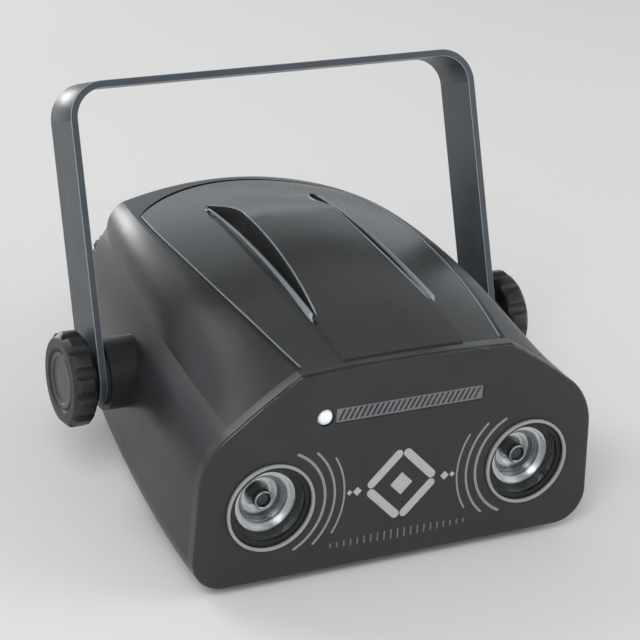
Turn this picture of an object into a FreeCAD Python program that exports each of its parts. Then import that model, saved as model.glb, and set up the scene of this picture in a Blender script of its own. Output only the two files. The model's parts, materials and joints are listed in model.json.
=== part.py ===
"""Laser show projector: a low, tapered black case with two lens openings, hung in a U-shaped bracket.

Millimetres. X runs to the right seen from the front, Y runs from front to rear, Z is up.
The origin is under the middle of the whole part, at the underside of the feet.
"""
import FreeCAD, Part
import math
import os
import re

import Sketcher
from FreeCAD import Placement, Rotation, Vector

# Driving dimensions, in millimetres and degrees
SIZES = {
    # case form
    "body_width": 118.0,
    "rear_width": 82.0,
    "body_depth": 130.0,
    "corner_run": 9.5,
    "corner_rise_front": 9.0,
    "corner_rise_rear": 14.0,
    "side_height_front": 39.0,
    "side_height_rear": 43.0,
    "side_draft": 1.5,
    "side_round": 10.0,
    "shoulder_bulge": 4.2,
    "ridge_width_front": 60.0,
    "ridge_width_top": 74.0,
    "ridge_width_rear": 57.0,
    "ridge_height_front": 57.0,
    "ridge_height_top": 64.0,
    "ridge_height_rear": 58.0,
    "crown_height_front": 57.5,
    "crown_height_top": 68.5,
    "crown_height_rear": 62.0,
    "top_place": 75.0,
    "rear_round": 6.0,
    "wall": 2.4,
    "split_height": 12.0,
    "case_screw_edge_front": 11.0,
    "case_screw_place_front": 20.0,
    "case_screw_edge_rear": 3.0,
    "case_screw_place_rear": 110.0,
    "case_boss_radius": 4.0,
    "case_boss_height": 18.0,
    "case_screw_radius": 1.4,
    "screw_head_radius": 2.7,
    "screw_head": 2.2,
    "screw_sink": 4.0,
    "foot_height": 2.5,
    "foot_radius": 5.0,
    "foot_edge_front": 21.0,
    "foot_place_front": 14.0,
    "foot_edge_rear": 14.0,
    "foot_place_rear": 112.0,
    # top cover and its vents
    "cover_place_rear": 104.0,
    "cover_tail": 15.0,
    "cover_inset": 1.5,
    "cover_gap": 0.35,
    "tail_gap": 2.4,
    "ledge_width": 3.0,
    "ledge_root": 1.0,
    "ledge_thick": 1.6,
    "vent_x_rear": 17.0,
    "vent_x_front": 18.0,
    "vent_place_rear": 94.0,
    "vent_place_front": 22.0,
    "vent_place_wide": 75.0,
    "vent_opening": 3.6,
    "vent_blunt": 1.0,
    "vent_lip": 0.8,
    "vent_lip_width": 1.6,
    "tongue_rise": 3.4,
    "tongue_root": 6.0,
    "tongue_peak": 74.0,
    "tongue_end": 99.0,
    "screen_thick": 0.6,
    # front panel and its fittings
    "panel_thick": 4.0,
    "panel_edge": 1.0,
    "spigot_depth": 4.0,
    "spigot_thick": 1.6,
    "spigot_gap": 0.25,
    "lens_edge": 21.0,
    "lens_height": 22.0,
    "trim_outer": 12.4,
    "trim_inner": 11.55,
    "trim_proud": 1.0,
    "barrel_radius": 11.4,
    "barrel_length": 12.0,
    "barrel_flange": 13.5,
    "window_radius": 10.1,
    "window_thick": 2.0,
    "reflector_radius": 8.5,
    "reflector_depth": 7.6,
    "aperture_radius": 2.2,
    "lamp_x": -23.5,
    "strip_x": 1.2,
    "strip_drop": 12.0,
    "strip_width": 43.4,
    "strip_rise": 4.2,
    "strip_slots": 26.0,
    "lamp_radius": 2.4,
    "front_board_width": 58.0,
    "front_board_rise": 11.0,
    "front_board_gap": 4.0,
    "panel_post_x": 12.0,
    "panel_post_radius": 1.7,
    "panel_screw_radius": 0.8,
    "microphone_radius": 3.2,
    # optics
    "beam_offset": 14.5,
    "wheel_size": 18.5,
    "wheel_gap": 0.8,
    "wheel_place": 14.4,
    "wheel_thick": 1.6,
    "wheel_hub_radius": 4.0,
    "wheel_hub_length": 4.6,
    "wheel_sleeve_radius": 2.2,
    "shaft_radius": 1.0,
    "motor_radius": 7.0,
    "motor_length": 16.0,
    "motor_nose_radius": 2.5,
    "laser_radius": 6.0,
    "laser_length": 26.0,
    "collimator_radius": 3.0,
    "bench_place": 25.0,
    "bench_depth": 20.0,
    "bench_margin": 4.0,
    "bench_base_thick": 6.0,
    "bench_screw_x": 10.0,
    # electronics
    "board_width": 66.0,
    "board_place": 60.0,
    "board_length": 48.0,
    "board_rise": 8.0,
    "board_thick": 1.6,
    "ear_width": 11.0,
    "post_radius": 3.0,
    "board_screw_radius": 1.0,
    "chip_width": 12.0,
    "chip_rise": 2.2,
    "capacitor_radius": 3.2,
    "capacitor_rise": 9.0,
    "connector_width": 8.0,
    "connector_depth": 5.0,
    "connector_rise": 6.0,
    "inlet_x": 28.0,
    "inlet_width": 9.6,
    "inlet_rise": 11.0,
    "inlet_depth": 14.0,
    "inlet_bore": 3.2,
    "inlet_pin_radius": 1.0,
    "switch_width": 13.0,
    "switch_rise": 7.0,
    "switch_depth": 12.0,
    "slider_width": 3.0,
    "slider_rise": 3.0,
    "slider_travel": 2.0,
    "slider_proud": 2.4,
    "pot_x": 28.0,
    "pot_height": 38.0,
    "pot_radius": 6.5,
    "pot_length": 8.0,
    "bush_radius": 3.2,
    "control_shaft_radius": 2.0,
    "control_knob_radius": 6.5,
    "control_knob_proud": 9.0,
    # fan
    "fan_width": 30.0,
    "fan_depth": 10.0,
    "fan_height": 33.0,
    "fan_bore": 14.0,
    "fan_hub_radius": 7.0,
    "fan_screw_pitch": 24.0,
    "fan_screw_radius": 1.2,
    "fan_plate": 1.6,
    "fan_axle_radius": 1.2,
    # bracket and pivot
    "pivot_place": 67.0,
    "pivot_height": 33.0,
    "pivot_boss_radius": 10.0,
    "pivot_boss_inner": 38.0,
    "insert_radius": 5.0,
    "stud_radius": 3.0,
    "washer_radius": 8.4,
    "washer_thick": 1.0,
    "bracket_gap": 1.2,
    "bracket_thick": 2.0,
    "bracket_width": 17.0,
    "bracket_reach": 79.7,
    "bracket_bend": 10.0,
    "bracket_lean": 20.4,
    "hang_hole": 4.25,
    "knob_radius": 13.2,
    "knob_collar_radius": 7.5,
    "knob_collar": 2.0,
    "knob_thick": 6.5,
    "knob_flutes": 12.0,
    "knob_flute_radius": 2.0,
    "running_gap": 0.05,
    "seat_gap": 0.15,
}

# Values that follow from the driving dimensions
DERIVED = {
    "front_y": "(trim_proud - body_depth - control_knob_proud) / 2",
    "rear_y": "front_y + body_depth",
    "back_y": "front_y + panel_thick",
    "base_z": "foot_height",
    "floor_z": "base_z + wall",
    "split_z": "base_z + split_height",
    "case_screw_x_front": "body_width / 2 - case_screw_edge_front",
    "case_screw_x_rear": "rear_width / 2 - case_screw_edge_rear",
    "foot_x_front": "body_width / 2 - foot_edge_front",
    "foot_x_rear": "rear_width / 2 - foot_edge_rear",
    "lens_x": "body_width / 2 - lens_edge",
    "lens_z": "base_z + lens_height",
    "wheel_x": "lens_x - beam_offset",
    "wheel_radius": "min(wheel_size; wheel_x - wheel_gap)",
    "strip_z": "base_z + min(crown_height_front; ridge_height_front) - strip_drop",
    "panel_post_z": "strip_z + strip_rise / 2 + 1.8",
    "front_board_y": "back_y + front_board_gap",
    "pivot_y": "front_y + pivot_place",
    "pivot_z": "base_z + pivot_height",
    "arm_x": "max(body_width; rear_width) / 2 + bracket_gap",
    "boss_x": "arm_x - washer_thick",
    "knob_x": "arm_x + bracket_thick + seat_gap",
    "board_z": "floor_z + board_rise",
    "deck_z": "board_z + board_thick",
    "inlet_z": "deck_z + inlet_rise / 2",
    "switch_z": "deck_z + switch_rise / 2",
    "rear_inner": "rear_y - wall",
    "fan_y": "rear_inner - seat_gap - fan_depth",
    "fan_z": "base_z + fan_height",
    "pot_z": "base_z + pot_height",
    "bench_y": "front_y + bench_place",
    "wheel_y": "front_y + wheel_place",
    "board_y": "front_y + board_place",
}

doc = FreeCAD.newDocument("laser_show_projector")
NODES = []


def make_sheet():
    """Write the driving dimensions into the sheet and bind the derived values to them."""
    sheet = doc.addObject("Spreadsheet::Sheet", "Sizes")
    for row, (name, value) in enumerate(SIZES.items(), start=1):
        sheet.set(f"A{row}", name.replace("_", " "))
        sheet.set(f"B{row}", str(value))
        sheet.setAlias(f"B{row}", name)
    doc.recompute()
    derived = doc.addObject("App::VarSet", "Derived")
    for name, text in DERIVED.items():
        derived.addProperty("App::PropertyFloat", name)
        derived.setExpression(name, cells(text))
        doc.recompute()
    return sheet, derived


def cells(text):
    """An expression with every size and derived value replaced by its reference."""
    def reference(match):
        name = match.group()
        if name in SIZES:
            return "Sizes." + name
        if name in DERIVED:
            return "Derived." + name
        return name
    return re.sub(r"[a-z][a-z_]+", reference, text)


def num(name):
    """The present value of a size or derived value."""
    if name in SIZES:
        return float(sheet.get(name))
    return float(getattr(derived, name))


TURNS = {
    "x": Rotation(Vector(0, 1, 0), 90),
    "y": Rotation(Vector(1, 0, 0), -90),
    "z": Rotation(),
}


def place(item, at, axis="z"):
    """Turn an item's own Z along an axis and bind its position."""
    item.Placement = Placement(Vector(), TURNS[axis])
    for letter, text in zip("xyz", at):
        item.setExpression("Placement.Base." + letter, cells(text))
    return item


def rod(name, radius, length, at, axis="z"):
    """A bound cylinder."""
    item = doc.addObject("Part::Cylinder", name)
    item.setExpression("Radius", cells(radius))
    item.setExpression("Height", cells(length))
    return place(item, at, axis)


def block(name, size, at):
    """A bound box, placed by its lowest corner."""
    item = doc.addObject("Part::Box", name)
    for side, text in zip(("Length", "Width", "Height"), size):
        item.setExpression(side, cells(text))
    return place(item, at)


def bar(name, size, centre):
    """A bound box, placed by its centre."""
    return block(name, size, [f"{c} - ({s}) / 2" for s, c in zip(size, centre)])


def fuse(name, *pieces):
    item = doc.addObject("Part::MultiFuse", name)
    item.Shapes = list(pieces)
    return item


def cut(name, base, *tools):
    item = doc.addObject("Part::Cut", name)
    item.Base = base
    item.Tool = tools[0] if len(tools) == 1 else fuse(name + "_tools", *tools)
    return item


def common(name, one, other):
    item = doc.addObject("Part::Common", name)
    item.Base = one
    item.Tool = other
    return item


def group(name, *pieces):
    item = doc.addObject("Part::Compound", name)
    item.Links = list(pieces)
    return item


def raw(name, shape):
    """A form that only Part's own functions make."""
    item = doc.addObject("Part::Feature", name)
    item.Shape = shape
    return item


def node(item, label):
    item.Label = label
    NODES.append(item)
    return item


def side_name(side):
    return "left" if side < 0 else "right"


# Case form: one closed outline per depth, lofted from front to rear

def eased(depth, front, top, rear):
    """A value that has its own size at the front, at the top of the case and at the rear."""
    peak = num("top_place")
    if depth < peak:
        share = (peak - depth) / peak
        return num(top) - (num(top) - num(front)) * share ** 2
    share = (depth - peak) / (num("body_depth") - peak)
    return num(top) - (num(top) - num(rear)) * share ** 2


def straight(depth, front, rear):
    share = depth / num("body_depth")
    return num(front) + (num(rear) - num(front)) * share


def half_width(depth):
    """Half the width of the case at a depth: it narrows faster towards the rear."""
    share = max(depth, 0.0) / num("body_depth")
    return (num("body_width") - (num("body_width") - num("rear_width")) * share ** 1.6) / 2


def ridge_half(depth):
    return eased(depth, "ridge_width_front", "ridge_width_top", "ridge_width_rear") / 2


def arc(first, middle, last):
    return Part.Arc(first, middle, last).toShape()


def line(first, last):
    return Part.LineSegment(first, last).toShape()


def mirrored(point):
    return Vector(-point.x, point.y, point.z)


def towards(first, last, distance):
    step = last - first
    return first + step * (distance / step.Length)


def outline(depth, inset, at=None):
    """The closed outline of the case at a depth, moved inwards by an inset."""
    y = num("front_y") + (depth if at is None else at)
    base = num("base_z")
    wide = half_width(depth)
    flat = wide - num("corner_run")
    rise = straight(depth, "corner_rise_front", "corner_rise_rear")
    side = straight(depth, "side_height_front", "side_height_rear")
    ridge_z = eased(depth, "ridge_height_front", "ridge_height_top", "ridge_height_rear")
    crown_z = eased(depth, "crown_height_front", "crown_height_top", "crown_height_rear")
    bulge = num("shoulder_bulge") * (1 - max(0.0, 1 - depth / num("top_place")) ** 2)

    def point(x, z):
        return Vector(x, y, base + z)

    floor = point(flat - 0.4 * inset, inset)
    knee = point(wide - inset, max(rise, inset + 1))
    bend = point(floor.x + (knee.x - floor.x) * 0.7071, inset + (knee.z - base - inset) * 0.2929)
    corner = point(wide - num("side_draft") - inset, side - 0.58 * inset)
    ridge = point(ridge_half(depth) - 0.26 * inset, ridge_z - inset)
    crown = point(0, crown_z - inset)
    low = towards(corner, knee, num("side_round"))
    high = towards(corner, ridge, num("side_round"))
    turn = low * 0.25 + corner * 0.5 + high * 0.25
    chord = ridge - high
    outward = Vector(chord.z, 0, -chord.x).normalize()
    swell = (high + ridge) * 0.5 + outward * (bulge * chord.Length / 30)
    right = [arc(floor, bend, knee), line(knee, low), arc(low, turn, high), arc(high, swell, ridge)]
    left = [
        arc(mirrored(ridge), mirrored(swell), mirrored(high)),
        arc(mirrored(high), mirrored(turn), mirrored(low)),
        line(mirrored(low), mirrored(knee)),
        arc(mirrored(knee), mirrored(bend), mirrored(floor)),
    ]
    top = [arc(ridge, crown, mirrored(ridge))]
    return Part.Wire([line(mirrored(floor), floor)] + right + top + left)


def room_for_round(before, last):
    """The rear round that fits the last stretch of the roof: half its length, less what the roof falls."""
    names = ("crown_height_front", "crown_height_top", "crown_height_rear")
    fall = eased(before, *names) - eased(last, *names)
    return (last - before - abs(fall)) / 2


def case_form(inset, front=0.0):
    """The solid case form, with every face moved inwards by an inset; the front may reach forwards."""
    last = num("body_depth")
    start = num("panel_thick")
    depths = [start + (last - start) * share for share in (0, 0.15, 0.3, 0.45, 0.6, 0.75, 0.88, 1)]
    wires = [outline(depth, inset) for depth in depths]
    if front:
        wires[0] = outline(depths[0], inset, start - front)
    if inset:
        wires[-1] = outline(last, inset, last - inset)
    form = Part.makeLoft(wires, True, False)
    if not inset:
        limit = num("rear_y") - 0.01
        edges = [edge for edge in form.Edges if edge.BoundBox.YMin > limit]
        form = form.makeFillet(min(num("rear_round"), room_for_round(depths[-2], last)), edges)
    return form


def slab(low, high):
    """A wide flat block between two heights."""
    reach = 4 * num("body_depth")
    return Part.makeBox(reach, reach, high - low, Vector(-reach / 2, -reach / 2, low))


def behind(y):
    """Everything behind a depth."""
    reach = 4 * num("body_depth")
    return Part.makeBox(reach, reach, reach, Vector(-reach / 2, y, -reach / 2))


def prism(wire, low=0.0, high=200.0):
    face = Part.Face(wire)
    face.translate(Vector(0, 0, low))
    return face.extrude(Vector(0, 0, high - low))


def cover_region(grow, tail):
    """The plan of the top cover: its sides follow the ridges and its tail is an arc."""
    front = num("front_y")
    depths = [num("panel_thick") - 3 + share * (num("cover_place_rear") - num("panel_thick") + 3)
              for share in (0, 0.2, 0.4, 0.6, 0.8, 1)]
    points = [Vector(ridge_half(depth) - num("cover_inset") + grow, front + depth, 0) for depth in depths]
    right = Part.BSplineCurve()
    right.interpolate(points)
    left = Part.BSplineCurve()
    left.interpolate([mirrored(point) for point in reversed(points)])
    end = points[-1]
    tip = Vector(0, end.y + num("cover_tail") + tail, 0)
    edges = [line(mirrored(points[0]), points[0]), right.toShape(), arc(end, tip, mirrored(end)),
             left.toShape()]
    return Part.Wire(edges)


def vent_line(side, inward, ahead, behind):
    """The front and rear end of a vent's outer border, moved towards the middle and lengthened."""
    front = num("front_y")
    rear = Vector(side * (num("vent_x_rear") - inward), front + num("vent_place_rear") + behind, 0)
    tip = Vector(side * (num("vent_x_front") - inward), front + num("vent_place_front") - ahead, 0)
    return tip, rear


def vent_region(side):
    """The plan of one leaf-shaped vent: straight outside, curved towards the middle."""
    blunt = num("vent_blunt")
    tip, rear = vent_line(side, 0, 0, 0)
    tip_inner, rear_inner = vent_line(side, blunt, 0, 0)
    wide_x = num("vent_x_rear") - num("vent_opening")
    widest = Vector(side * wide_x, num("front_y") + num("vent_place_wide"), 0)
    behind = (rear_inner + widest) * 0.5 + Vector(-side * 1.8, 2.0, 0)
    ahead = (tip_inner + widest) * 0.5 + Vector(-side * 1.0, 0, 0)
    return Part.Wire([line(tip, rear), line(rear, rear_inner), arc(rear_inner, behind, widest),
                      arc(widest, ahead, tip_inner), line(tip_inner, tip)])


def lip_region(side):
    """The plan of the raised rim along the outside of one vent."""
    tip, rear = vent_line(side, 0, 1.5, 1.0)
    tip_inner, rear_inner = vent_line(side, num("vent_blunt") * 0.8, 1.5, 1.0)
    middle = (rear + tip) * 0.5 + Vector(side * num("vent_lip_width"), 0, 0)
    return Part.Wire([arc(rear, middle, tip), line(tip, tip_inner), line(tip_inner, rear_inner),
                      line(rear_inner, rear)])


def tongue_region():
    """The plan of the raised tongue: from the front of the cover, between the vents, to its rear edge."""
    tip, rear = vent_line(1, num("vent_blunt") / 2, 0, 0)
    nose = Vector(tip.x, num("front_y") + num("panel_thick") - 3, 0)
    bow = Vector(0, num("front_y") + num("tongue_end") - 1, 0)
    return Part.Wire([line(mirrored(nose), nose), line(nose, tip), line(tip, rear),
                      arc(rear, bow, mirrored(rear)), line(mirrored(rear), mirrored(tip)),
                      line(mirrored(tip), mirrored(nose))])


def tongue_form(outer):
    """The case form lifted towards the peak of the tongue, from ahead of it and from behind it."""
    rise = num("tongue_rise")
    peak = num("tongue_peak")
    end = num("tongue_end")
    crown = eased(end, "crown_height_front", "crown_height_top", "crown_height_rear")
    climb = outer.copy()
    climb.rotate(Vector(0, num("front_y") - num("tongue_root"), num("base_z") + num("crown_height_front")),
                 Vector(1, 0, 0), math.degrees(math.atan2(rise, peak + num("tongue_root"))))
    fall = outer.copy()
    fall.rotate(Vector(0, num("front_y") + end, num("base_z") + crown),
                Vector(1, 0, 0), -math.degrees(math.atan2(rise, end - peak)))
    return climb.common(fall)


def make_case():
    """Upper shell, top cover and base tray, cut from one hollow form."""
    outer = case_form(0)
    inner = case_form(num("wall"), num("panel_thick"))
    deeper = case_form(num("wall") + num("seat_gap") + num("ledge_thick"), num("panel_thick"))
    seat = case_form(num("wall") + num("seat_gap"), num("panel_thick"))
    hollow = outer.cut(inner)
    split = num("split_z")
    above = hollow.common(slab(split, 200))
    below = hollow.common(slab(-10, split - 0.02))
    opening = prism(cover_region(num("cover_gap"), num("tail_gap")), split)
    roof = above.common(prism(cover_region(0, 0), split))
    root = num("ledge_root")
    ledge_zone = prism(cover_region(num("cover_gap") + root, num("tail_gap") + root), split).cut(
        prism(cover_region(-num("ledge_width"), -num("ledge_width") - 2), split - 1, 201))
    ledge_zone = ledge_zone.common(behind(num("back_y") + num("spigot_depth") + num("cover_gap")))
    band = inner.cut(deeper).common(ledge_zone)
    rim = band.cut(opening)
    ledge = band.common(opening).common(seat)
    walls = above.cut(opening).fuse([rim, ledge])

    lifted = tongue_form(outer).cut(inner)
    tongue = lifted.common(prism(tongue_region(), split)).common(behind(num("back_y")))
    raised = outer.copy()
    raised.translate(Vector(0, 0, num("vent_lip")))
    raised = raised.cut(inner)
    lips = [raised.common(prism(lip_region(side), split)) for side in (-1, 1)]
    roof = roof.fuse([tongue] + lips)
    vents = [prism(vent_region(side), split) for side in (-1, 1)]
    roof = roof.cut(vents[0]).cut(vents[1])
    screens = [seat.cut(case_form(num("wall") + num("seat_gap") + num("screen_thick"), num("panel_thick")))
               .common(prism(screen_region(side), split)) for side in (-1, 1)]
    return outer, walls.removeSplitter(), roof.removeSplitter(), below.removeSplitter(), screens


def screen_region(side):
    """The plan of one dust screen, a strip that covers a vent from below."""
    front = num("front_y")
    near = num("vent_x_rear") - num("vent_opening") - 2.5
    far = num("vent_x_front") + 2.5
    first = front + num("vent_place_front") - 2
    last = front + num("vent_place_rear") + 2
    corners = [Vector(side * near, first, 0), Vector(side * far, first, 0), Vector(side * far, last, 0),
               Vector(side * near, last, 0)]
    return Part.makePolygon(corners + corners[:1])


def points_sketch(body, name, role, points, offset=None):
    """A closed sketch of straight lines whose corners are bound to expressions."""
    sketch = body.newObject("Sketcher::SketchObject", name)
    sketch.AttachmentSupport = [(origin(body, role), "")]
    sketch.MapMode = "FlatFace"
    if offset:
        sketch.setExpression("AttachmentOffset.Base.z", cells(offset))
    count = len(points)
    for index in range(count):
        turn = 2 * math.pi * index / count
        turn_next = 2 * math.pi * (index + 1) / count
        sketch.addGeometry(Part.LineSegment(Vector(math.cos(turn), math.sin(turn), 0),
                                            Vector(math.cos(turn_next), math.sin(turn_next), 0)))
    for index in range(count):
        sketch.addConstraint(Sketcher.Constraint("Coincident", index, 2, (index + 1) % count, 1))
    for index, corner in enumerate(points):
        for kind, text in zip(("DistanceX", "DistanceY"), corner):
            number = sketch.addConstraint(Sketcher.Constraint(kind, index, 1, 1.0 + index))
            sketch.setExpression(f"Constraints[{number}]", cells(text))
    return sketch


def circle_sketch(body, name, role, centre, radius):
    """A sketch of one circle whose centre and radius are bound to expressions."""
    sketch = body.newObject("Sketcher::SketchObject", name)
    sketch.AttachmentSupport = [(origin(body, role), "")]
    sketch.MapMode = "FlatFace"
    sketch.addGeometry(Part.Circle(Vector(1, 1, 0), Vector(0, 0, 1), 1))
    for kind, text in zip(("DistanceX", "DistanceY"), centre):
        number = sketch.addConstraint(Sketcher.Constraint(kind, 0, 3, 1.0))
        sketch.setExpression(f"Constraints[{number}]", cells(text))
    number = sketch.addConstraint(Sketcher.Constraint("Radius", 0, 1.0))
    sketch.setExpression(f"Constraints[{number}]", cells(radius))
    return sketch


def origin(body, role):
    return next(item for item in body.Origin.OriginFeatures if item.Role == role)


def new_body(name):
    return doc.addObject("PartDesign::Body", name)


def revolved(name, points, at, axis="V_Axis", role="XY_Plane"):
    """A body turned from a closed outline and moved to a bound position."""
    body = new_body(name)
    sketch = points_sketch(body, name + "_outline", role, points)
    turned = body.newObject("PartDesign::Revolution", name + "_turned")
    turned.Profile = sketch
    turned.ReferenceAxis = (sketch, [axis])
    for letter, text in zip("xyz", at):
        body.setExpression("Placement.Base." + letter, cells(text))
    return body


def edge_names(shape, wanted):
    return [f"Edge{number}" for number, edge in enumerate(shape.Edges, start=1) if wanted(edge)]


# Case

def case_spots():
    """Side, x and y of the four case screws."""
    for side in (-1, 1):
        for end in ("front", "rear"):
            yield side, end, f"{side} * case_screw_x_{end}", f"front_y + case_screw_place_{end}"


def make_upper_shell(walls, outer):
    pieces = []
    holes = []
    for side, end, x, y in case_spots():
        tag = f"{side_name(side)}_{end}"
        pieces.append(rod(f"boss_{tag}", "case_boss_radius", "case_boss_height", (x, y, "split_z")))
        pieces.append(bar(f"rib_{tag}", ("body_width / 2", "2", "case_boss_height"),
                          (f"{x} + {side} * body_width / 4", y, "split_z + case_boss_height / 2")))
        holes.append(rod(f"boss_hole_{tag}", "case_screw_radius + 0.1", "case_boss_height - 1",
                         (x, y, "split_z - 1")))
    bosses = common("case_bosses", fuse("boss_set", *pieces), outer)
    ends = []
    for side in (-1, 1):
        tag = side_name(side)
        start = "pivot_boss_inner" if side > 0 else "-boss_x"
        ends.append(rod(f"pivot_boss_{tag}", "pivot_boss_radius", "boss_x - pivot_boss_inner",
                        (start, "pivot_y", "pivot_z"), "x"))
        start = "pivot_boss_inner + 2" if side > 0 else "-boss_x - 1"
        holes.append(rod(f"pivot_hole_{tag}", "insert_radius", "boss_x - pivot_boss_inner - 1",
                         (start, "pivot_y", "pivot_z"), "x"))
    reach = "wall + 4"
    start = "rear_inner - 2"
    rings = []
    for number, (inside, outside) in enumerate((("3", "5"), ("6.4", "8.6"), ("10", "fan_bore - 1.4"))):
        rings.append(cut(f"grille_ring_{number}",
                         rod(f"grille_out_{number}", outside, reach, ("0", start, "fan_z"), "y"),
                         rod(f"grille_in_{number}", inside, reach, ("0", start, "fan_z"), "y")))
    spokes = [bar("spoke_flat", ("fan_width", "wall + 6", "2"), ("0", "rear_y", "fan_z")),
              bar("spoke_up", ("2", "wall + 6", "fan_width"), ("0", "rear_y", "fan_z"))]
    holes.append(cut("grille", fuse("grille_rings", *rings), *spokes))
    for number, (x, z) in enumerate(fan_corners()):
        holes.append(rod(f"fan_hole_{number}", "fan_screw_radius + seat_gap", reach, (x, start, z), "y"))
    holes.append(rod("inlet_hole", "inlet_bore + 0.6", reach, ("-inlet_x", start, "inlet_z"), "y"))
    holes.append(bar("slider_slot", ("slider_width + 2 * slider_travel + 0.8", "2 * wall + 4",
                                     "slider_rise + 0.8"), ("inlet_x", "rear_y", "switch_z")))
    for side in (-1, 1):
        holes.append(rod(f"bush_hole_{side_name(side)}", "bush_radius + 0.1", reach,
                         (f"{side} * pot_x", start, "pot_z"), "y"))
    solid = fuse("shell_solid", walls, bosses, *ends)
    node(cut("upper_shell_cut", solid, *holes), "upper_shell")


def make_tray(form, outer):
    pieces = []
    holes = []
    for side, end, x, y in case_spots():
        tag = f"{side_name(side)}_{end}"
        pieces.append(rod(f"post_{tag}", "case_boss_radius", "split_height - 0.02", (x, y, "base_z")))
        holes.append(rod(f"post_hole_{tag}", "case_screw_radius + 0.2", "split_height + 2",
                         (x, y, "base_z - 1")))
        holes.append(rod(f"post_bore_{tag}", "screw_head_radius + 0.2", "screw_sink + 1",
                         (x, y, "base_z - 1")))
    posts = common("case_posts", fuse("post_set", *pieces), outer)
    stands = []
    for number, (x, y) in enumerate(board_corners()):
        stands.append(rod(f"stand_{number}", "post_radius", "board_rise + 0.5", (x, y, "floor_z - 0.5")))
        holes.append(rod(f"stand_hole_{number}", "board_screw_radius + running_gap", "7",
                         (x, y, "board_z - 6.5")))
    for side in (-1, 1):
        holes.append(rod(f"bench_hole_{side_name(side)}", "case_screw_radius + 0.2", "wall + 2",
                         (f"{side} * bench_screw_x", "bench_y + bench_depth / 2", "base_z - 1")))
    solid = fuse("tray_solid", form, posts, *stands)
    node(cut("tray_cut", solid, *holes), "base_tray")


def make_underside():
    feet = []
    screws = []
    for side, end, x, y in case_spots():
        tag = f"{side_name(side)}_{end}"
        feet.append(rod(f"foot_{tag}", "foot_radius", "foot_height",
                        (f"{side} * foot_x_{end}", f"front_y + foot_place_{end}", "0")))
        head = rod(f"case_head_{tag}", "screw_head_radius", "screw_head",
                   (x, y, "base_z + screw_sink - screw_head"))
        shank = rod(f"case_shank_{tag}", "case_screw_radius", "split_height + 8",
                    (x, y, "base_z + screw_sink"))
        screws.append(fuse(f"case_screw_{tag}", head, shank))
    node(group("feet_set", *feet), "rubber_feet")
    node(group("case_screw_set", *screws), "case_screws")


# Front panel and its fittings

def panel_form():
    """The flat front plate with its rounded front edge and the spigot that enters the case."""
    def plate(inset, start, thick):
        face = Part.Face(outline(num("panel_thick"), inset, start))
        return face.extrude(Vector(0, thick, 0))
    thick = num("panel_thick")
    form = plate(0, 0, thick - 0.02)
    front = [edge for edge in form.Edges if edge.BoundBox.YMax < num("front_y") + 0.01]
    form = form.makeFillet(num("panel_edge"), front)
    inset = num("wall") + num("spigot_gap")
    spigot = plate(inset, thick - 0.5, num("spigot_depth") + 0.5)
    spigot = spigot.cut(plate(inset + num("spigot_thick"), thick - 1, num("spigot_depth") + 2))
    return form.fuse(spigot)


def make_panel():
    holes = []
    for side in (-1, 1):
        holes.append(rod(f"lens_hole_{side_name(side)}", "barrel_radius + seat_gap", "panel_thick + 2",
                         (f"{side} * lens_x", "front_y - 1", "lens_z"), "y"))
    holes.append(bar("strip_hole", ("strip_width", "2 * panel_thick + 2", "strip_rise"),
                     ("strip_x", "front_y", "strip_z")))
    holes.append(rod("lamp_hole", "lamp_radius + 0.1", "panel_thick + 2",
                     ("lamp_x", "front_y - 1", "strip_z"), "y"))
    posts = []
    for side in (-1, 1):
        x = f"{side} * panel_post_x"
        posts.append(rod(f"panel_post_{side_name(side)}", "panel_post_radius", "front_board_gap + 0.5",
                         (x, "back_y - 0.5", "panel_post_z"), "y"))
        holes.append(rod(f"panel_post_hole_{side_name(side)}", "panel_screw_radius + running_gap",
                         "front_board_gap", (x, "back_y + 0.5", "panel_post_z"), "y"))
    solid = fuse("panel_solid", raw("panel_plate", panel_form()), *posts)
    node(cut("panel_cut", solid, *holes), "front_panel")


def make_lens(side):
    tag = side_name(side)
    x = f"{side} * lens_x"
    front = (x, "front_y", "lens_z")
    ring = rod(f"trim_out_{tag}", "trim_outer", "trim_proud", (x, "front_y - trim_proud", "lens_z"), "y")
    eye = rod(f"trim_in_{tag}", "trim_inner", "trim_proud + 2",
              (x, "front_y - trim_proud - 1", "lens_z"), "y")
    node(cut(f"trim_cut_{tag}", ring, eye), f"lens_trim_{tag}")
    tube = rod(f"barrel_tube_{tag}", "barrel_radius", "barrel_length - 0.3",
               (x, "front_y + 0.3", "lens_z"), "y")
    flange = rod(f"barrel_flange_{tag}", "barrel_flange", "2", (x, "back_y", "lens_z"), "y")
    seat = rod(f"barrel_seat_{tag}", "window_radius + 0.1", "window_thick + 1.3", front, "y")
    bore = rod(f"barrel_bore_{tag}", "reflector_radius + 0.1", "barrel_length + 2", front, "y")
    solid = fuse(f"barrel_solid_{tag}", tube, flange)
    node(cut(f"barrel_cut_{tag}", solid, seat, bore), f"lens_barrel_{tag}")
    node(rod(f"window_{tag}", "window_radius", "window_thick", (x, "front_y + 1.2", "lens_z"), "y"),
         f"lens_window_{tag}")
    steps = 5
    points = [("reflector_radius", "0"), ("reflector_radius", "reflector_depth"),
              ("aperture_radius", "reflector_depth")]
    for number in range(steps):
        share = number / steps
        share_next = (number + 1) / steps
        radius = "aperture_radius + (reflector_radius - 0.4 - aperture_radius)"
        depth = "(reflector_depth - 1)"
        points.append((f"{radius} * {share}", f"{depth} * {1 - share}"))
        points.append((f"{radius} * {share_next}", f"{depth} * {1 - share}"))
    points.append(("reflector_radius - 0.4", "0"))
    node(revolved(f"reflector_body_{tag}", points,
                  (x, "front_y + window_thick + 1.6", "lens_z")), f"reflector_{tag}")


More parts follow.
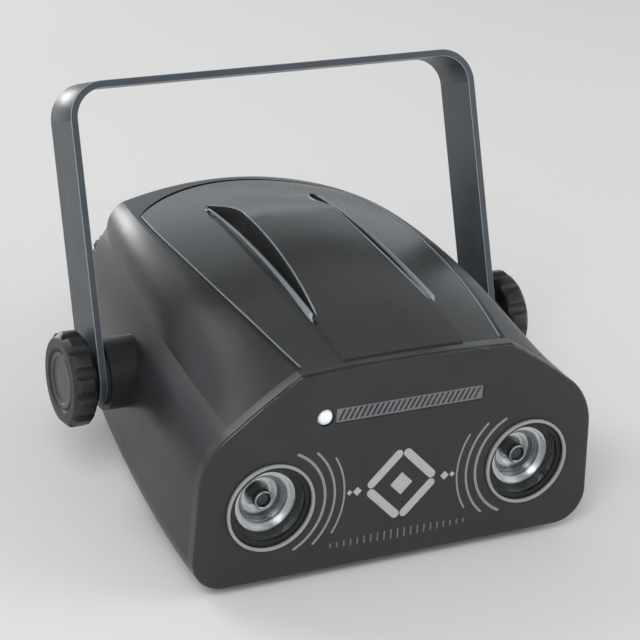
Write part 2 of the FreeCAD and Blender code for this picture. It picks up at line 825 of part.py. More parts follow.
def strip_cutters():
    """Slanted cutters for the slots of the grille strip."""
    count = int(num("strip_slots"))
    pitch = (num("strip_width") - 2) / count
    half = num("strip_rise") / 2 - 0.6
    lean = 0.5 * pitch
    cutters = []
    for number in range(count):
        x = num("strip_x") + (number - (count - 1) / 2) * pitch
        corners = [Vector(x - lean - pitch / 4, 0, -half), Vector(x - lean + pitch / 4, 0, -half),
                   Vector(x + lean + pitch / 4, 0, half), Vector(x + lean - pitch / 4, 0, half)]
        face = Part.Face(Part.makePolygon(corners + corners[:1]))
        face.translate(Vector(0, num("front_y") - 1, num("strip_z")))
        cutters.append(face.extrude(Vector(0, num("panel_thick") + 2, 0)))
    return Part.makeCompound(cutters)


def make_front_fittings():
    strip = bar("strip_bar", ("strip_width - 0.2", "panel_thick - 0.6", "strip_rise - 0.2"),
                ("strip_x", "front_y + panel_thick / 2", "strip_z"))
    node(cut("strip_cut", strip, raw("strip_slots_set", strip_cutters())), "microphone_grille")
    holes = [rod(f"front_board_hole_{side_name(side)}", "panel_screw_radius + 0.3", "board_thick + 2",
                 (f"{side} * panel_post_x", "front_board_y - 1", "panel_post_z"), "y") for side in (-1, 1)]
    plate = bar("front_board_plate", ("front_board_width", "board_thick", "front_board_rise"),
                ("0", "front_board_y + board_thick / 2", "strip_z"))
    node(cut("front_board_cut", plate, *holes), "front_board")
    stem = rod("lamp_stem", "lamp_radius", "panel_thick + front_board_gap - 1.7",
               ("lamp_x", "front_y + 1.7", "strip_z"), "y")
    foot = rod("lamp_foot", "lamp_radius + 0.5", "1", ("lamp_x", "front_board_y - 1", "strip_z"), "y")
    dome = doc.addObject("Part::Sphere", "lamp_dome")
    dome.setExpression("Radius", cells("lamp_radius"))
    place(dome, ("lamp_x", "front_y + 1.7", "strip_z"))
    node(fuse("lamp_solid", stem, foot, dome), "status_lamp")
    node(rod("microphone_can", "microphone_radius", "front_board_gap - 0.6",
             ("strip_x", "back_y + 0.6", "strip_z"), "y"), "microphone")


# Optics

def make_bench():
    solids = [bar("bench_base", ("2 * (lens_x + bench_margin)", "bench_depth", "bench_base_thick"),
                  ("0", "bench_y + bench_depth / 2", "floor_z + bench_base_thick / 2"))]
    holes = []
    foot = "floor_z + bench_base_thick - 1"
    top = "lens_z + laser_radius + 8"
    for side in (-1, 1):
        tag = side_name(side)
        width = "lens_x + laser_radius - wheel_x + motor_radius + 3.5"
        middle = f"{side} * (lens_x + laser_radius + 2 + wheel_x - motor_radius - 1.5) / 2"
        solids.append(bar(f"tower_{tag}", (width, "bench_depth", f"{top} - ({foot})"),
                          (middle, "bench_y + bench_depth / 2", f"({top} + {foot}) / 2")))
        holes.append(rod(f"laser_bore_{tag}", "laser_radius + running_gap", "bench_depth + 2",
                         (f"{side} * lens_x", "bench_y - 1", "lens_z"), "y"))
        holes.append(rod(f"motor_bore_{tag}", "motor_radius + running_gap", "bench_depth + 2",
                         (f"{side} * wheel_x", "bench_y - 1", "lens_z"), "y"))
        for number in range(4):
            holes.append(bar(f"fin_{tag}_{number}", ("44", "bench_depth / 9", "10"),
                             (middle, f"bench_y + bench_depth * {2 * number + 1.5} / 9",
                              "lens_z + laser_radius + 8")))
        holes.append(rod(f"bench_thread_{tag}", "case_screw_radius + 0.05", "bench_base_thick - 1",
                         (f"{side} * bench_screw_x", "bench_y + bench_depth / 2", "floor_z - 0.5")))
    node(cut("bench_cut", fuse("bench_solid", *solids), *holes), "optic_bench")
    screws = []
    for side in (-1, 1):
        tag = side_name(side)
        at = (f"{side} * bench_screw_x", "bench_y + bench_depth / 2")
        head = rod(f"bench_head_{tag}", "screw_head_radius", "1.6", at + ("base_z - 1.6",))
        shank = rod(f"bench_shank_{tag}", "case_screw_radius", "wall + bench_base_thick - 2",
                    at + ("base_z",))
        screws.append(fuse(f"bench_screw_{tag}", head, shank))
    node(group("bench_screw_set", *screws), "bench_screws")


def make_optics(side):
    tag = side_name(side)
    beam = f"{side} * lens_x"
    wheel = f"{side} * wheel_x"
    barrel = rod(f"laser_rod_{tag}", "laser_radius", "laser_length", (beam, "bench_y - 2", "lens_z"), "y")
    pocket = rod(f"laser_pocket_{tag}", "collimator_radius + running_gap", "2.6",
                 (beam, "bench_y - 3", "lens_z"), "y")
    node(cut(f"laser_cut_{tag}", barrel, pocket), f"laser_barrel_{tag}")
    node(rod(f"collimator_rod_{tag}", "collimator_radius", "1.4", (beam, "bench_y - 1.8", "lens_z"), "y"),
         f"collimator_{tag}")
    front = (wheel, "wheel_y", "lens_z")
    disc = rod(f"disc_{tag}", "wheel_radius", "wheel_thick", front, "y")
    eye = rod(f"disc_eye_{tag}", "wheel_sleeve_radius + 0.1", "wheel_thick + 2",
              (wheel, "wheel_y - 1", "lens_z"), "y")
    node(cut(f"disc_cut_{tag}", disc, eye), f"grating_disc_{tag}")
    sleeve = rod(f"hub_sleeve_{tag}", "wheel_sleeve_radius", "wheel_thick + wheel_hub_length", front, "y")
    flange = rod(f"hub_flange_{tag}", "wheel_hub_radius", "1.4",
                 (wheel, "wheel_y + wheel_thick", "lens_z"), "y")
    bore = rod(f"hub_bore_{tag}", "shaft_radius + 0.03", "20", (wheel, "wheel_y - 1", "lens_z"), "y")
    node(cut(f"hub_cut_{tag}", fuse(f"hub_solid_{tag}", sleeve, flange), bore), f"wheel_hub_{tag}")
    node(rod(f"shaft_rod_{tag}", "shaft_radius", "bench_place - wheel_place + 8", front, "y"),
         f"motor_shaft_{tag}")
    can = rod(f"motor_can_{tag}", "motor_radius", "motor_length", (wheel, "bench_y + 0.5", "lens_z"), "y")
    nose = rod(f"motor_nose_{tag}", "motor_nose_radius", "1.5", (wheel, "bench_y - 1", "lens_z"), "y")
    well = rod(f"motor_well_{tag}", "shaft_radius + running_gap", "11",
               (wheel, "bench_y - 2", "lens_z"), "y")
    node(cut(f"motor_cut_{tag}", fuse(f"motor_solid_{tag}", can, nose), well), f"wheel_motor_{tag}")


# Electronics

def board_corners():
    for side in (-1, 1):
        for spot in ("4", "board_length - 4"):
            yield f"{side} * (board_width / 2 - 4)", f"board_y + {spot}"


def make_board():
    solids = [bar("board_plate", ("board_width", "board_length", "board_thick"),
                  ("0", "board_y + board_length / 2", "board_z + board_thick / 2"))]
    ear = "rear_inner - 1 - board_y - board_length"
    for side in (-1, 1):
        solids.append(bar(f"ear_{side_name(side)}", ("ear_width", f"{ear} + 1", "board_thick"),
                          (f"{side} * (board_width - ear_width) / 2",
                           f"board_y + board_length - 1 + ({ear} + 1) / 2", "board_z + board_thick / 2")))
    holes = [rod(f"board_hole_{number}", "board_screw_radius + 0.2", "board_thick + 2", (x, y, "board_z - 1"))
             for number, (x, y) in enumerate(board_corners())]
    node(cut("board_cut", fuse("board_solid", *solids), *holes), "main_board")
    screws = []
    for number, (x, y) in enumerate(board_corners()):
        head = rod(f"board_head_{number}", "board_screw_radius + 1.1", "1.4", (x, y, "deck_z"))
        shank = rod(f"board_shank_{number}", "board_screw_radius", "board_thick + 5.5",
                    (x, y, "board_z - 5.5"))
        screws.append(fuse(f"board_screw_{number}", head, shank))
    for side in (-1, 1):
        tag = side_name(side)
        x = f"{side} * panel_post_x"
        head = rod(f"panel_head_{tag}", "panel_screw_radius + 0.7", "1.2",
                   (x, "front_board_y + board_thick", "panel_post_z"), "y")
        shank = rod(f"panel_shank_{tag}", "panel_screw_radius", "board_thick + front_board_gap - 0.8",
                    (x, "back_y + 0.8", "panel_post_z"), "y")
        screws.append(fuse(f"panel_screw_{tag}", head, shank))
    node(group("board_screw_set", *screws), "board_screws")
    node(bar("chip", ("chip_width", "chip_width", "chip_rise"),
             ("2", "board_y + board_length / 2", "deck_z + chip_rise / 2")), "controller_chip")
    cans = [rod(f"capacitor_{number}", "capacitor_radius", "capacitor_rise", (x, f"board_y + {y}", "deck_z"))
            for number, (x, y) in enumerate((("-20", 18), ("-20", 27), ("-11", 36), ("20", 32)))]
    node(group("capacitor_set", *cans), "capacitors")
    plugs = [bar(f"connector_{number}", ("connector_width", "connector_depth", "connector_rise"),
                 (x, "board_y + connector_depth / 2 + 0.9", "deck_z + connector_rise / 2"))
             for number, x in enumerate(("-18", "-6", "6", "18"))]
    node(group("connector_set", *plugs), "connectors")


def make_inlet():
    front = "rear_inner - seat_gap - inlet_depth"
    shell = bar("inlet_shell", ("inlet_width", "inlet_depth", "inlet_rise"),
                ("-inlet_x", f"{front} + inlet_depth / 2", "inlet_z"))
    bore = rod("inlet_bore_rod", "inlet_bore", "inlet_depth", ("-inlet_x", f"{front} + 4", "inlet_z"), "y")
    pin = rod("inlet_pin", "inlet_pin_radius", "inlet_depth - 5",
              ("-inlet_x", f"{front} + 3.5", "inlet_z"), "y")
    node(fuse("inlet_solid", cut("inlet_cut", shell, bore), pin), "dc_inlet")


def make_switch():
    front = "rear_inner - seat_gap - switch_depth"
    shell = bar("switch_shell", ("switch_width", "switch_depth", "switch_rise"),
                ("inlet_x", f"{front} + switch_depth / 2", "switch_z"))
    channel = block("switch_channel",
                    ("slider_width + 2 * slider_travel + 0.4", "switch_depth", "slider_rise + 0.2"),
                    ("inlet_x - slider_width / 2 - slider_travel - 0.2", f"{front} + 5",
                     "switch_z - slider_rise / 2 - 0.1"))
    node(cut("switch_cut", shell, channel), "mode_switch")
    length = "switch_depth - 5.2 + seat_gap + wall + slider_proud"
    node(block("slider", ("slider_width", length, "slider_rise"),
               ("inlet_x - slider_width / 2", f"{front} + 5.2", "switch_z - slider_rise / 2")),
         "mode_slider")


def make_control(side, label):
    x = f"{side} * pot_x"
    can = rod(f"{label}_can", "pot_radius", "pot_length", (x, "rear_inner - pot_length", "pot_z"), "y")
    bush = rod(f"{label}_bush", "bush_radius", "wall + 3", (x, "rear_inner", "pot_z"), "y")
    bore = rod(f"{label}_bore", "control_shaft_radius + running_gap", "wall + 10",
               (x, "rear_inner - 4", "pot_z"), "y")
    node(cut(f"{label}_cut", fuse(f"{label}_solid", can, bush), bore), f"{label}_control")
    cap = rod(f"{label}_cap", "control_knob_radius", "control_knob_proud - 3.4",
              (x, "rear_y + 3.4", "pot_z"), "y")
    shaft = rod(f"{label}_shaft", "control_shaft_radius", "wall + 8.5",
                (x, "rear_inner - 3.5", "pot_z"), "y")
    mark = bar(f"{label}_mark", ("0.9", "2", "control_knob_radius"),
               (x, "rear_y + control_knob_proud", "pot_z + control_knob_radius / 2 + 0.5"))
    flutes = []
    for number in range(12):
        turn = math.radians(30 * number + 15)
        flutes.append(rod(f"{label}_flute_{number}", "0.7", "10",
                          (f"{x} + (control_knob_radius + 0.2) * {math.sin(turn):.6f}", "rear_y + 3",
                           f"pot_z + (control_knob_radius + 0.2) * {math.cos(turn):.6f}"), "y"))
    node(cut(f"{label}_knob_cut", fuse(f"{label}_knob_solid", cap, shaft), mark, *flutes), f"{label}_knob")
    nut = doc.addObject("Part::Prism", f"{label}_hexagon")
    nut.Polygon = 6
    nut.setExpression("Circumradius", cells("bush_radius + 2"))
    nut.Height = 1.8
    place(nut, (x, "rear_y", "pot_z"), "y")
    hole = rod(f"{label}_nut_hole", "bush_radius + 0.05", "4", (x, "rear_y - 1", "pot_z"), "y")
    return cut(f"{label}_nut", nut, hole)


# Fan

def fan_corners():
    for side in (-1, 1):
        for rise in (-1, 1):
            yield f"{side} * fan_screw_pitch / 2", f"fan_z + {rise} * fan_screw_pitch / 2"


def rotor_form():
    """Hub and seven slanted blades, about a Y axis through the origin, from y = 0 rearwards."""
    depth = num("fan_depth") - 2.6
    hub = Part.makeCylinder(num("fan_hub_radius") - 0.2, depth, Vector(), Vector(0, 1, 0))
    reach = num("fan_bore") - 0.5
    inside = num("fan_hub_radius") - 1
    blades = []
    for number in range(7):
        blade = Part.makeBox(9.4, 0.9, reach - inside, Vector(-4.7, -0.45, inside))
        blade.rotate(Vector(), Vector(0, 0, 1), 48)
        blade.translate(Vector(0, depth / 2, 0))
        blade.rotate(Vector(), Vector(0, 1, 0), 360 * number / 7)
        blades.append(blade)
    tunnel = Part.makeCylinder(reach, depth - 0.2, Vector(0, 0.1, 0), Vector(0, 1, 0))
    fins = [blade.common(tunnel) for blade in blades]
    bore = num("fan_axle_radius") + num("running_gap")
    well = Part.makeCylinder(bore, depth, Vector(0, 2, 0), Vector(0, 1, 0))
    return hub.fuse(fins).cut(well).removeSplitter()


def make_fan():
    box = bar("fan_box", ("fan_width", "fan_depth", "fan_width"), ("0", "fan_y + fan_depth / 2", "fan_z"))
    tunnel = rod("fan_tunnel", "fan_bore", "fan_depth + 2", ("0", "fan_y - 1", "fan_z"), "y")
    holes = [rod(f"fan_corner_{number}", "fan_screw_radius + seat_gap", "fan_depth + 2",
                 (x, "fan_y - 1", z), "y") for number, (x, z) in enumerate(fan_corners())]
    rear = "fan_y + fan_depth - fan_plate"
    middle = ("0", f"{rear} + fan_plate / 2", "fan_z")
    plate = rod("fan_plate_disc", "fan_hub_radius", "fan_plate", ("0", rear, "fan_z"), "y")
    struts = [bar("fan_strut_flat", ("2 * fan_bore + 0.6", "fan_plate", "1.8"), middle),
              bar("fan_strut_up", ("1.8", "fan_plate", "2 * fan_bore + 0.6"), middle)]
    axle = rod("fan_axle", "fan_axle_radius", "5", ("0", f"{rear} - 4.5", "fan_z"), "y")
    node(fuse("fan_solid", cut("fan_open", box, tunnel, *holes), plate, axle, *struts), "fan_frame")
    rotor = raw("fan_rotor_form", rotor_form())
    place_raw(rotor, ("0", "fan_y + 0.4", "fan_z"))
    node(rotor, "fan_rotor")
    screws = []
    for number, (x, z) in enumerate(fan_corners()):
        head = rod(f"fan_head_{number}", "2.2", "1.5", (x, "rear_y", z), "y")
        shank = rod(f"fan_shank_{number}", "fan_screw_radius", "fan_depth + wall - 2",
                    (x, "rear_y - fan_depth - wall + 2", z), "y")
        screws.append(fuse(f"fan_screw_{number}", head, shank))
    node(group("fan_screw_set", *screws), "fan_screws")


def place_raw(item, at):
    for letter, text in zip("xyz", at):
        item.setExpression("Placement.Base." + letter, cells(text))


# Bracket and pivot

def make_bracket():
    body = new_body("bracket_body")
    end = "-bracket_width / 2"
    outside = "(arm_x + bracket_thick)"
    inside = "arm_x"
    under = "bracket_reach - bracket_thick"
    points = [(f"-{outside}", end), (f"-{outside}", "bracket_reach"), (outside, "bracket_reach"),
              (outside, end), (inside, end), (inside, under), (f"-{inside}", under), (f"-{inside}", end)]
    sketch = points_sketch(body, "bracket_outline", "XZ_Plane", points)
    strap = body.newObject("PartDesign::Pad", "bracket_strap")
    strap.Profile = sketch
    strap.setExpression("Length", cells("bracket_width"))
    strap.SideType = "Symmetric"
    doc.recompute()

    def corner(edge, x, z):
        box = edge.BoundBox
        flat = box.XLength < 0.01 and box.ZLength < 0.01
        return flat and abs(abs(box.XMin) - x) < 0.01 and abs(box.ZMin - z) < 0.01

    wide = num("arm_x") + num("bracket_thick")
    reach = num("bracket_reach")
    outer = body.newObject("PartDesign::Fillet", "bracket_outer_bend")
    outer.Base = (strap, edge_names(strap.Shape, lambda edge: corner(edge, wide, reach)))
    outer.setExpression("Radius", cells("bracket_bend"))
    doc.recompute()
    low = reach - num("bracket_thick")
    inner = body.newObject("PartDesign::Fillet", "bracket_inner_bend")
    inner.Base = (outer, edge_names(outer.Shape, lambda edge: corner(edge, num("arm_x"), low)))
    inner.setExpression("Radius", cells("bracket_bend - bracket_thick"))
    doc.recompute()

    def arm_end(edge):
        box = edge.BoundBox
        return box.YLength < 0.01 and box.ZLength < 0.01 and box.ZMax < -0.4 * num("bracket_width")

    ends = body.newObject("PartDesign::Fillet", "bracket_arm_ends")
    ends.Base = (inner, edge_names(inner.Shape, arm_end))
    ends.setExpression("Radius", cells("bracket_width / 2 - 0.05"))
    doc.recompute()
    pivot = body.newObject("PartDesign::Pocket", "bracket_pivot_holes")
    pivot.Profile = circle_sketch(body, "bracket_pivot_circle", "YZ_Plane", ("0", "0"),
                                  "stud_radius + 0.25")
    pivot.Type = "ThroughAll"
    pivot.SideType = "Symmetric"
    doc.recompute()
    hang = body.newObject("PartDesign::Pocket", "bracket_hang_hole")
    hang.Profile = circle_sketch(body, "bracket_hang_circle", "XY_Plane", ("0", "0"), "hang_hole")
    hang.Type = "ThroughAll"
    hang.Reversed = True
    body.Placement = Placement(Vector(), Rotation(Vector(1, 0, 0), -num("bracket_lean")))
    body.setExpression("Placement.Base.y", cells("pivot_y"))
    body.setExpression("Placement.Base.z", cells("pivot_z"))
    node(body, "bracket")


def make_knob(side):
    tag = side_name(side)
    start = "knob_x"
    length = "knob_collar + knob_thick"
    rim = "knob_radius"
    points = [("0", "stud_radius + running_gap"), ("0", "knob_collar_radius"),
              ("knob_collar", "knob_collar_radius"), ("knob_collar", f"{rim} - 1"), ("knob_collar + 1", rim),
              (f"{length} - 1.6", rim), (length, f"{rim} - 1.6"), (length, f"{rim} - 4"),
              (f"{length} - 1", f"{rim} - 5"), (f"{length} - 1", "0"), (f"{length} - 3", "0"),
              (f"{length} - 3", "stud_radius + running_gap")]
    body = revolved(f"knob_body_{tag}", points, (f"{side} * {start}", "pivot_y", "pivot_z"), "H_Axis")
    doc.recompute()
    body.Tip = body.Group[-1]
    flute = body.newObject("PartDesign::Pocket", f"knob_flute_{tag}")
    flute.Profile = circle_sketch(body, f"knob_flute_circle_{tag}", "YZ_Plane",
                                  ("knob_radius + 0.8", "0"), "knob_flute_radius")
    flute.Type = "ThroughAll"
    flute.Reversed = True
    doc.recompute()
    flutes = body.newObject("PartDesign::PolarPattern", f"knob_flutes_{tag}")
    flutes.Originals = [flute]
    flutes.Axis = (origin(body, "X_Axis"), [""])
    flutes.Angle = 360
    flutes.setExpression("Occurrences", cells("knob_flutes"))
    body.Tip = flutes
    if side < 0:
        body.Placement = Placement(body.Placement.Base, Rotation(Vector(0, 0, 1), 180))
    doc.recompute()
    node(body, f"clamp_knob_{tag}")
    inner = "arm_x - 15"
    outer = f"{start} + {length} - 3.2"
    first = inner if side > 0 else f"-({outer})"
    node(rod(f"stud_{tag}", "stud_radius", f"{outer} - ({inner})", (first, "pivot_y", "pivot_z"), "x"),
         f"knob_stud_{tag}")


def make_pivot(side):
    tag = side_name(side)
    long = "boss_x - pivot_boss_inner - 2.3"
    first = "pivot_boss_inner + 2.1" if side > 0 else "-boss_x + 0.2"
    sleeve = rod(f"insert_rod_{tag}", "insert_radius - 0.03", long, (first, "pivot_y", "pivot_z"), "x")
    bore = rod(f"insert_bore_{tag}", "stud_radius + running_gap", f"{long} + 2",
               (f"{first} - 1", "pivot_y", "pivot_z"), "x")
    node(cut(f"insert_cut_{tag}", sleeve, bore), f"pivot_insert_{tag}")
    first = "boss_x" if side > 0 else "-arm_x"
    ring = rod(f"washer_rod_{tag}", "washer_radius", "washer_thick", (first, "pivot_y", "pivot_z"), "x")
    eye = rod(f"washer_eye_{tag}", "stud_radius + 0.3", "washer_thick + 2",
              (f"{first} - 1", "pivot_y", "pivot_z"), "x")
    node(cut(f"washer_cut_{tag}", ring, eye), f"friction_washer_{tag}")


def export():
    """Check every object and write one file per sub-part."""
    doc.recompute()
    for item in doc.Objects:
        for word in ("Invalid", "Error"):
            if word in item.State:
                raise RuntimeError(f"{item.Name} is in state {word}")
    os.makedirs("parts", exist_ok=True)
    for item in NODES:
        shape = item.Shape
        if shape.isNull() or not shape.isValid() or shape.Volume <= 0:
            raise RuntimeError(f"{item.Label} has no valid shape")
        shape.exportStep(f"parts/{item.Label}.step")


sheet, derived = make_sheet()
outer_form, wall_form, roof_form, tray_form, screen_forms = make_case()
outer_item = raw("case_outer", outer_form)
make_upper_shell(raw("case_walls", wall_form), outer_item)
node(raw("case_roof", roof_form), "top_cover")
make_tray(raw("case_floor", tray_form), outer_item)
node(group("screen_set", *[raw(f"screen_{number}", form) for number, form in enumerate(screen_forms)]),
     "vent_screens")
make_underside()
make_panel()
make_front_fittings()
make_bench()
for hand in (-1, 1):
    make_lens(hand)
    make_optics(hand)
    make_knob(hand)
    make_pivot(hand)
make_board()
make_inlet()
make_switch()
nuts = [make_control(hand, label) for hand, label in ((-1, "sound"), (1, "speed"))]
node(group("control_nut_set", *nuts), "control_nuts")
make_fan()
make_bracket()
export()
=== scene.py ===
"""Looks of the laser show projector: materials, small fittings, print, light and camera.

Lengths are in millimetres where they are multiplied by MM, and in metres elsewhere.
"""
import json
import math

import bmesh
import bpy
from mathutils import Matrix, Vector
from mathutils.bvhtree import BVHTree


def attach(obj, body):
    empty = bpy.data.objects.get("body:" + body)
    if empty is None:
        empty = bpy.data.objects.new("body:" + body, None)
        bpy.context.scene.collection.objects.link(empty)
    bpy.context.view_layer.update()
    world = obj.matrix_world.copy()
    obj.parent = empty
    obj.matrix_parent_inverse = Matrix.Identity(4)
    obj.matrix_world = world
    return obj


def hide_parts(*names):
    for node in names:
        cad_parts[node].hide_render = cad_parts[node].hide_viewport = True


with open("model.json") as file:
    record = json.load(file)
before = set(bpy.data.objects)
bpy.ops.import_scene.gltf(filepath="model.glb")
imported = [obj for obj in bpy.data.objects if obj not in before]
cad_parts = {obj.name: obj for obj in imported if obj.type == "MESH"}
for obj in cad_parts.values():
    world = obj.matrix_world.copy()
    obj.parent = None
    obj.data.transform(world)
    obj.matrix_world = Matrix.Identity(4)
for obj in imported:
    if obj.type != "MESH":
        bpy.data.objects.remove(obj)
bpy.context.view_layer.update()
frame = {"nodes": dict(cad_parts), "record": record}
NODES = frame["nodes"]
MM = 0.001

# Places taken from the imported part, in millimetres
FRONT_Y = -69.0
REAR_Y = 61.0
LENS_X = 38.0
LENS_Z = 24.5
REFLECTOR_R = 8.5
PIVOT_Y, PIVOT_Z = -2.0, 35.5
KNOB_FACE_X = 69.85
CONTROL_X = 28.0
CONTROL_Z = 40.5
DIAL_FACE_Y = 69.0
SLIDER_FACE_Y = 63.4
INLET_Z = 20.0
INLET_PIN_Y = 56.95
FAN_Z = 35.5
FAN_SCREW = 12
UNDERSIDE_Z = 2.5
CASE_SCREW_Z = 6.5

SIDES = ((-1, "left"), (1, "right"))


# Node graphs

def set_stops(ramp, stops):
    """Give a colour ramp its stops, as (position, colour) in rising order."""
    while len(ramp.elements) < len(stops):
        ramp.elements.new(0.5)
    for element, (position, colour) in zip(ramp.elements, stops):
        element.position = position
        element.color = (*colour, 1.0)


class Graph:
    """A material under construction, with short calls for the nodes that it uses."""

    def __init__(self, name):
        self.material = bpy.data.materials.new(name)
        self.material.use_nodes = True
        self.tree = self.material.node_tree
        self.shader = self.tree.nodes["Principled BSDF"]
        self.coordinates = None

    def add(self, kind, **settings):
        node = self.tree.nodes.new(kind)
        for name, value in settings.items():
            setattr(node, name, value)
        return node

    def link(self, source, target):
        self.tree.links.new(source, target)

    def set(self, **values):
        for name, value in values.items():
            self.shader.inputs[name.replace("_", " ")].default_value = value

    def place(self):
        """The place on the object, in metres."""
        if self.coordinates is None:
            self.coordinates = self.add("ShaderNodeTexCoord")
        return self.coordinates.outputs["Object"]

    def stretched(self, scale):
        mapping = self.add("ShaderNodeMapping")
        mapping.inputs["Scale"].default_value = scale
        self.link(self.place(), mapping.inputs["Vector"])
        return mapping.outputs["Vector"]

    def noise(self, scale, detail=3.0, rough=0.55, vector=None, warp=0.0):
        node = self.add("ShaderNodeTexNoise")
        node.inputs["Scale"].default_value = scale
        node.inputs["Detail"].default_value = detail
        node.inputs["Roughness"].default_value = rough
        node.inputs["Distortion"].default_value = warp
        self.link(vector or self.place(), node.inputs["Vector"])
        return node.outputs["Fac"]

    def ramp(self, source, stops):
        node = self.add("ShaderNodeValToRGB")
        set_stops(node.color_ramp, stops)
        self.link(source, node.inputs["Fac"])
        return node.outputs["Color"]

    def spread(self, source, low, high, start=0.3, end=0.7):
        """A value that runs from low to high while the source runs from start to end."""
        node = self.add("ShaderNodeMapRange")
        for name, value in (("From Min", start), ("From Max", end), ("To Min", low), ("To Max", high)):
            node.inputs[name].default_value = value
        self.link(source, node.inputs["Value"])
        return node.outputs["Result"]

    def math(self, operation, first, second=0.0):
        node = self.add("ShaderNodeMath", operation=operation)
        for socket, value in zip(node.inputs, (first, second)):
            if isinstance(value, (int, float)):
                socket.default_value = value
            else:
                self.link(value, socket)
        return node.outputs["Value"]

    def mix(self, factor, first, second):
        """Two colours mixed by a factor. The sockets of the node's colours have numbers, not names."""
        node = self.add("ShaderNodeMix", data_type="RGBA")
        self.link(factor, node.inputs["Factor"])
        for socket, value in ((node.inputs[6], first), (node.inputs[7], second)):
            if isinstance(value, bpy.types.NodeSocket):
                self.link(value, socket)
            else:
                socket.default_value = (*value, 1.0)
        return node.outputs[2]

    def bump(self, height, strength, distance, below=None):
        node = self.add("ShaderNodeBump")
        node.inputs["Strength"].default_value = strength
        node.inputs["Distance"].default_value = distance
        self.link(height, node.inputs["Height"])
        if below is not None:
            self.link(below, node.inputs["Normal"])
        return node.outputs["Normal"]

    def colour(self, source):
        self.link(source, self.shader.inputs["Base Color"])

    def roughness(self, source):
        self.link(source, self.shader.inputs["Roughness"])

    def normal(self, source):
        self.link(source, self.shader.inputs["Normal"])


def upward(graph):
    """How far a surface faces up, from 0 to 1."""
    geometry = graph.add("ShaderNodeNewGeometry")
    split = graph.add("ShaderNodeSeparateXYZ")
    graph.link(geometry.outputs["Normal"], split.inputs["Vector"])
    return graph.spread(split.outputs["Z"], 0.0, 1.0, 0.2, 1.0)


DUST = (0.30, 0.29, 0.27)


def plastic(name, colour, light, rough, grain, dust=0.0, specular=0.5, mottle=1.0):
    """Moulded plastic: cloudy colour, spark-eroded grain, handling marks and a little dust on top."""
    graph = Graph(name)
    cloud = graph.noise(60.0, 4.0)
    tint = graph.ramp(cloud, ((0.35, colour), (0.7, light)))
    if dust > 0:
        speck = graph.spread(graph.noise(1900.0, 2.0, 0.7), 0.0, 1.0, 0.66, 0.74)
        film = graph.spread(graph.noise(38.0, 5.0, 0.65), 0.0, 0.35, 0.42, 0.75)
        amount = graph.math("MULTIPLY", graph.math("ADD", speck, film), upward(graph))
        tint = graph.mix(graph.math("MULTIPLY", amount, dust), tint, DUST)
    graph.colour(tint)
    marks = graph.noise(1.0, 3.0, 0.6, graph.stretched((320.0, 45.0, 90.0)), 0.4)
    worn = graph.math("ADD", graph.spread(marks, -0.05 * mottle, 0.07 * mottle),
                      graph.spread(cloud, -0.03 * mottle, 0.05 * mottle))
    graph.roughness(graph.math("ADD", worn, rough))
    fine = graph.noise(3600.0, 2.0, 0.6)
    broad = graph.noise(900.0, 2.0)
    normal = graph.bump(fine, grain, 0.03 * MM)
    graph.normal(graph.bump(broad, grain * 0.5, 0.04 * MM, normal))
    graph.set(Specular_IOR_Level=specular)
    return graph.material


def paint(name, colour, light, rough):
    """Powder coat on sheet steel: orange peel, small pits and rubbed patches."""
    graph = Graph(name)
    cloud = graph.noise(85.0, 5.0, 0.6)
    tint = graph.ramp(cloud, ((0.3, colour), (0.72, light)))
    scuff = graph.noise(1.0, 4.0, 0.7, graph.stretched((900.0, 120.0, 160.0)), 0.6)
    tint = graph.mix(graph.spread(scuff, 0.0, 0.22, 0.60, 0.78), tint, tuple(1.9 * c for c in light))
    graph.colour(tint)
    graph.roughness(graph.math("ADD", graph.spread(cloud, -0.06, 0.06), rough))
    peel = graph.noise(1300.0, 2.0)
    pits = graph.noise(4200.0, 1.0)
    normal = graph.bump(peel, 0.35, 0.06 * MM)
    graph.normal(graph.bump(pits, 0.18, 0.02 * MM, normal))
    return graph.material


def metal(name, colour, light, rough, lines=(900.0, 900.0, 900.0)):
    """Bare metal with fine machining lines and dull patches."""
    graph = Graph(name)
    cloud = graph.noise(140.0, 4.0)
    graph.colour(graph.ramp(cloud, ((0.3, colour), (0.7, light))))
    track = graph.noise(1.0, 2.0, 0.5, graph.stretched(lines))
    graph.roughness(graph.math("ADD", graph.spread(track, -0.05, 0.08), rough))
    graph.normal(graph.bump(track, 0.12, 0.02 * MM))
    graph.set(Metallic=1.0)
    return graph.material


def turned(name, colour, light, dark, rough, axis_x, axis_z, pitch, rings, reach):
    """Metal turned on a lathe about a Y axis: round tool marks, and darker rings by radius that are painted
    shade in the steps of a reflector.
    """
    graph = Graph(name)
    split = graph.add("ShaderNodeSeparateXYZ")
    graph.link(graph.place(), split.inputs["Vector"])
    away = [graph.math("SUBTRACT", split.outputs[letter], centre)
            for letter, centre in (("X", axis_x), ("Z", axis_z))]
    squares = [graph.math("MULTIPLY", part, part) for part in away]
    radius = graph.math("SQRT", graph.math("ADD", *squares))
    wave = graph.math("SINE", graph.math("MULTIPLY", radius, 2 * math.pi / pitch))
    cloud = graph.noise(260.0, 3.0)
    silver = graph.ramp(cloud, ((0.3, colour), (0.7, light)))
    painted_rings = graph.ramp(graph.math("DIVIDE", radius, reach),
                        [(share, (level, level, level)) for share, level in rings])
    # The dark colour mixed in by radius is painted shade in the reflector's steps.
    graph.colour(graph.mix(painted_rings, dark, silver))
    graph.roughness(graph.math("ADD", graph.spread(wave, -0.03, 0.05, -1.0, 1.0), rough))
    graph.normal(graph.bump(wave, 0.25, 0.02 * MM))
    graph.set(Metallic=1.0)
    return graph.material


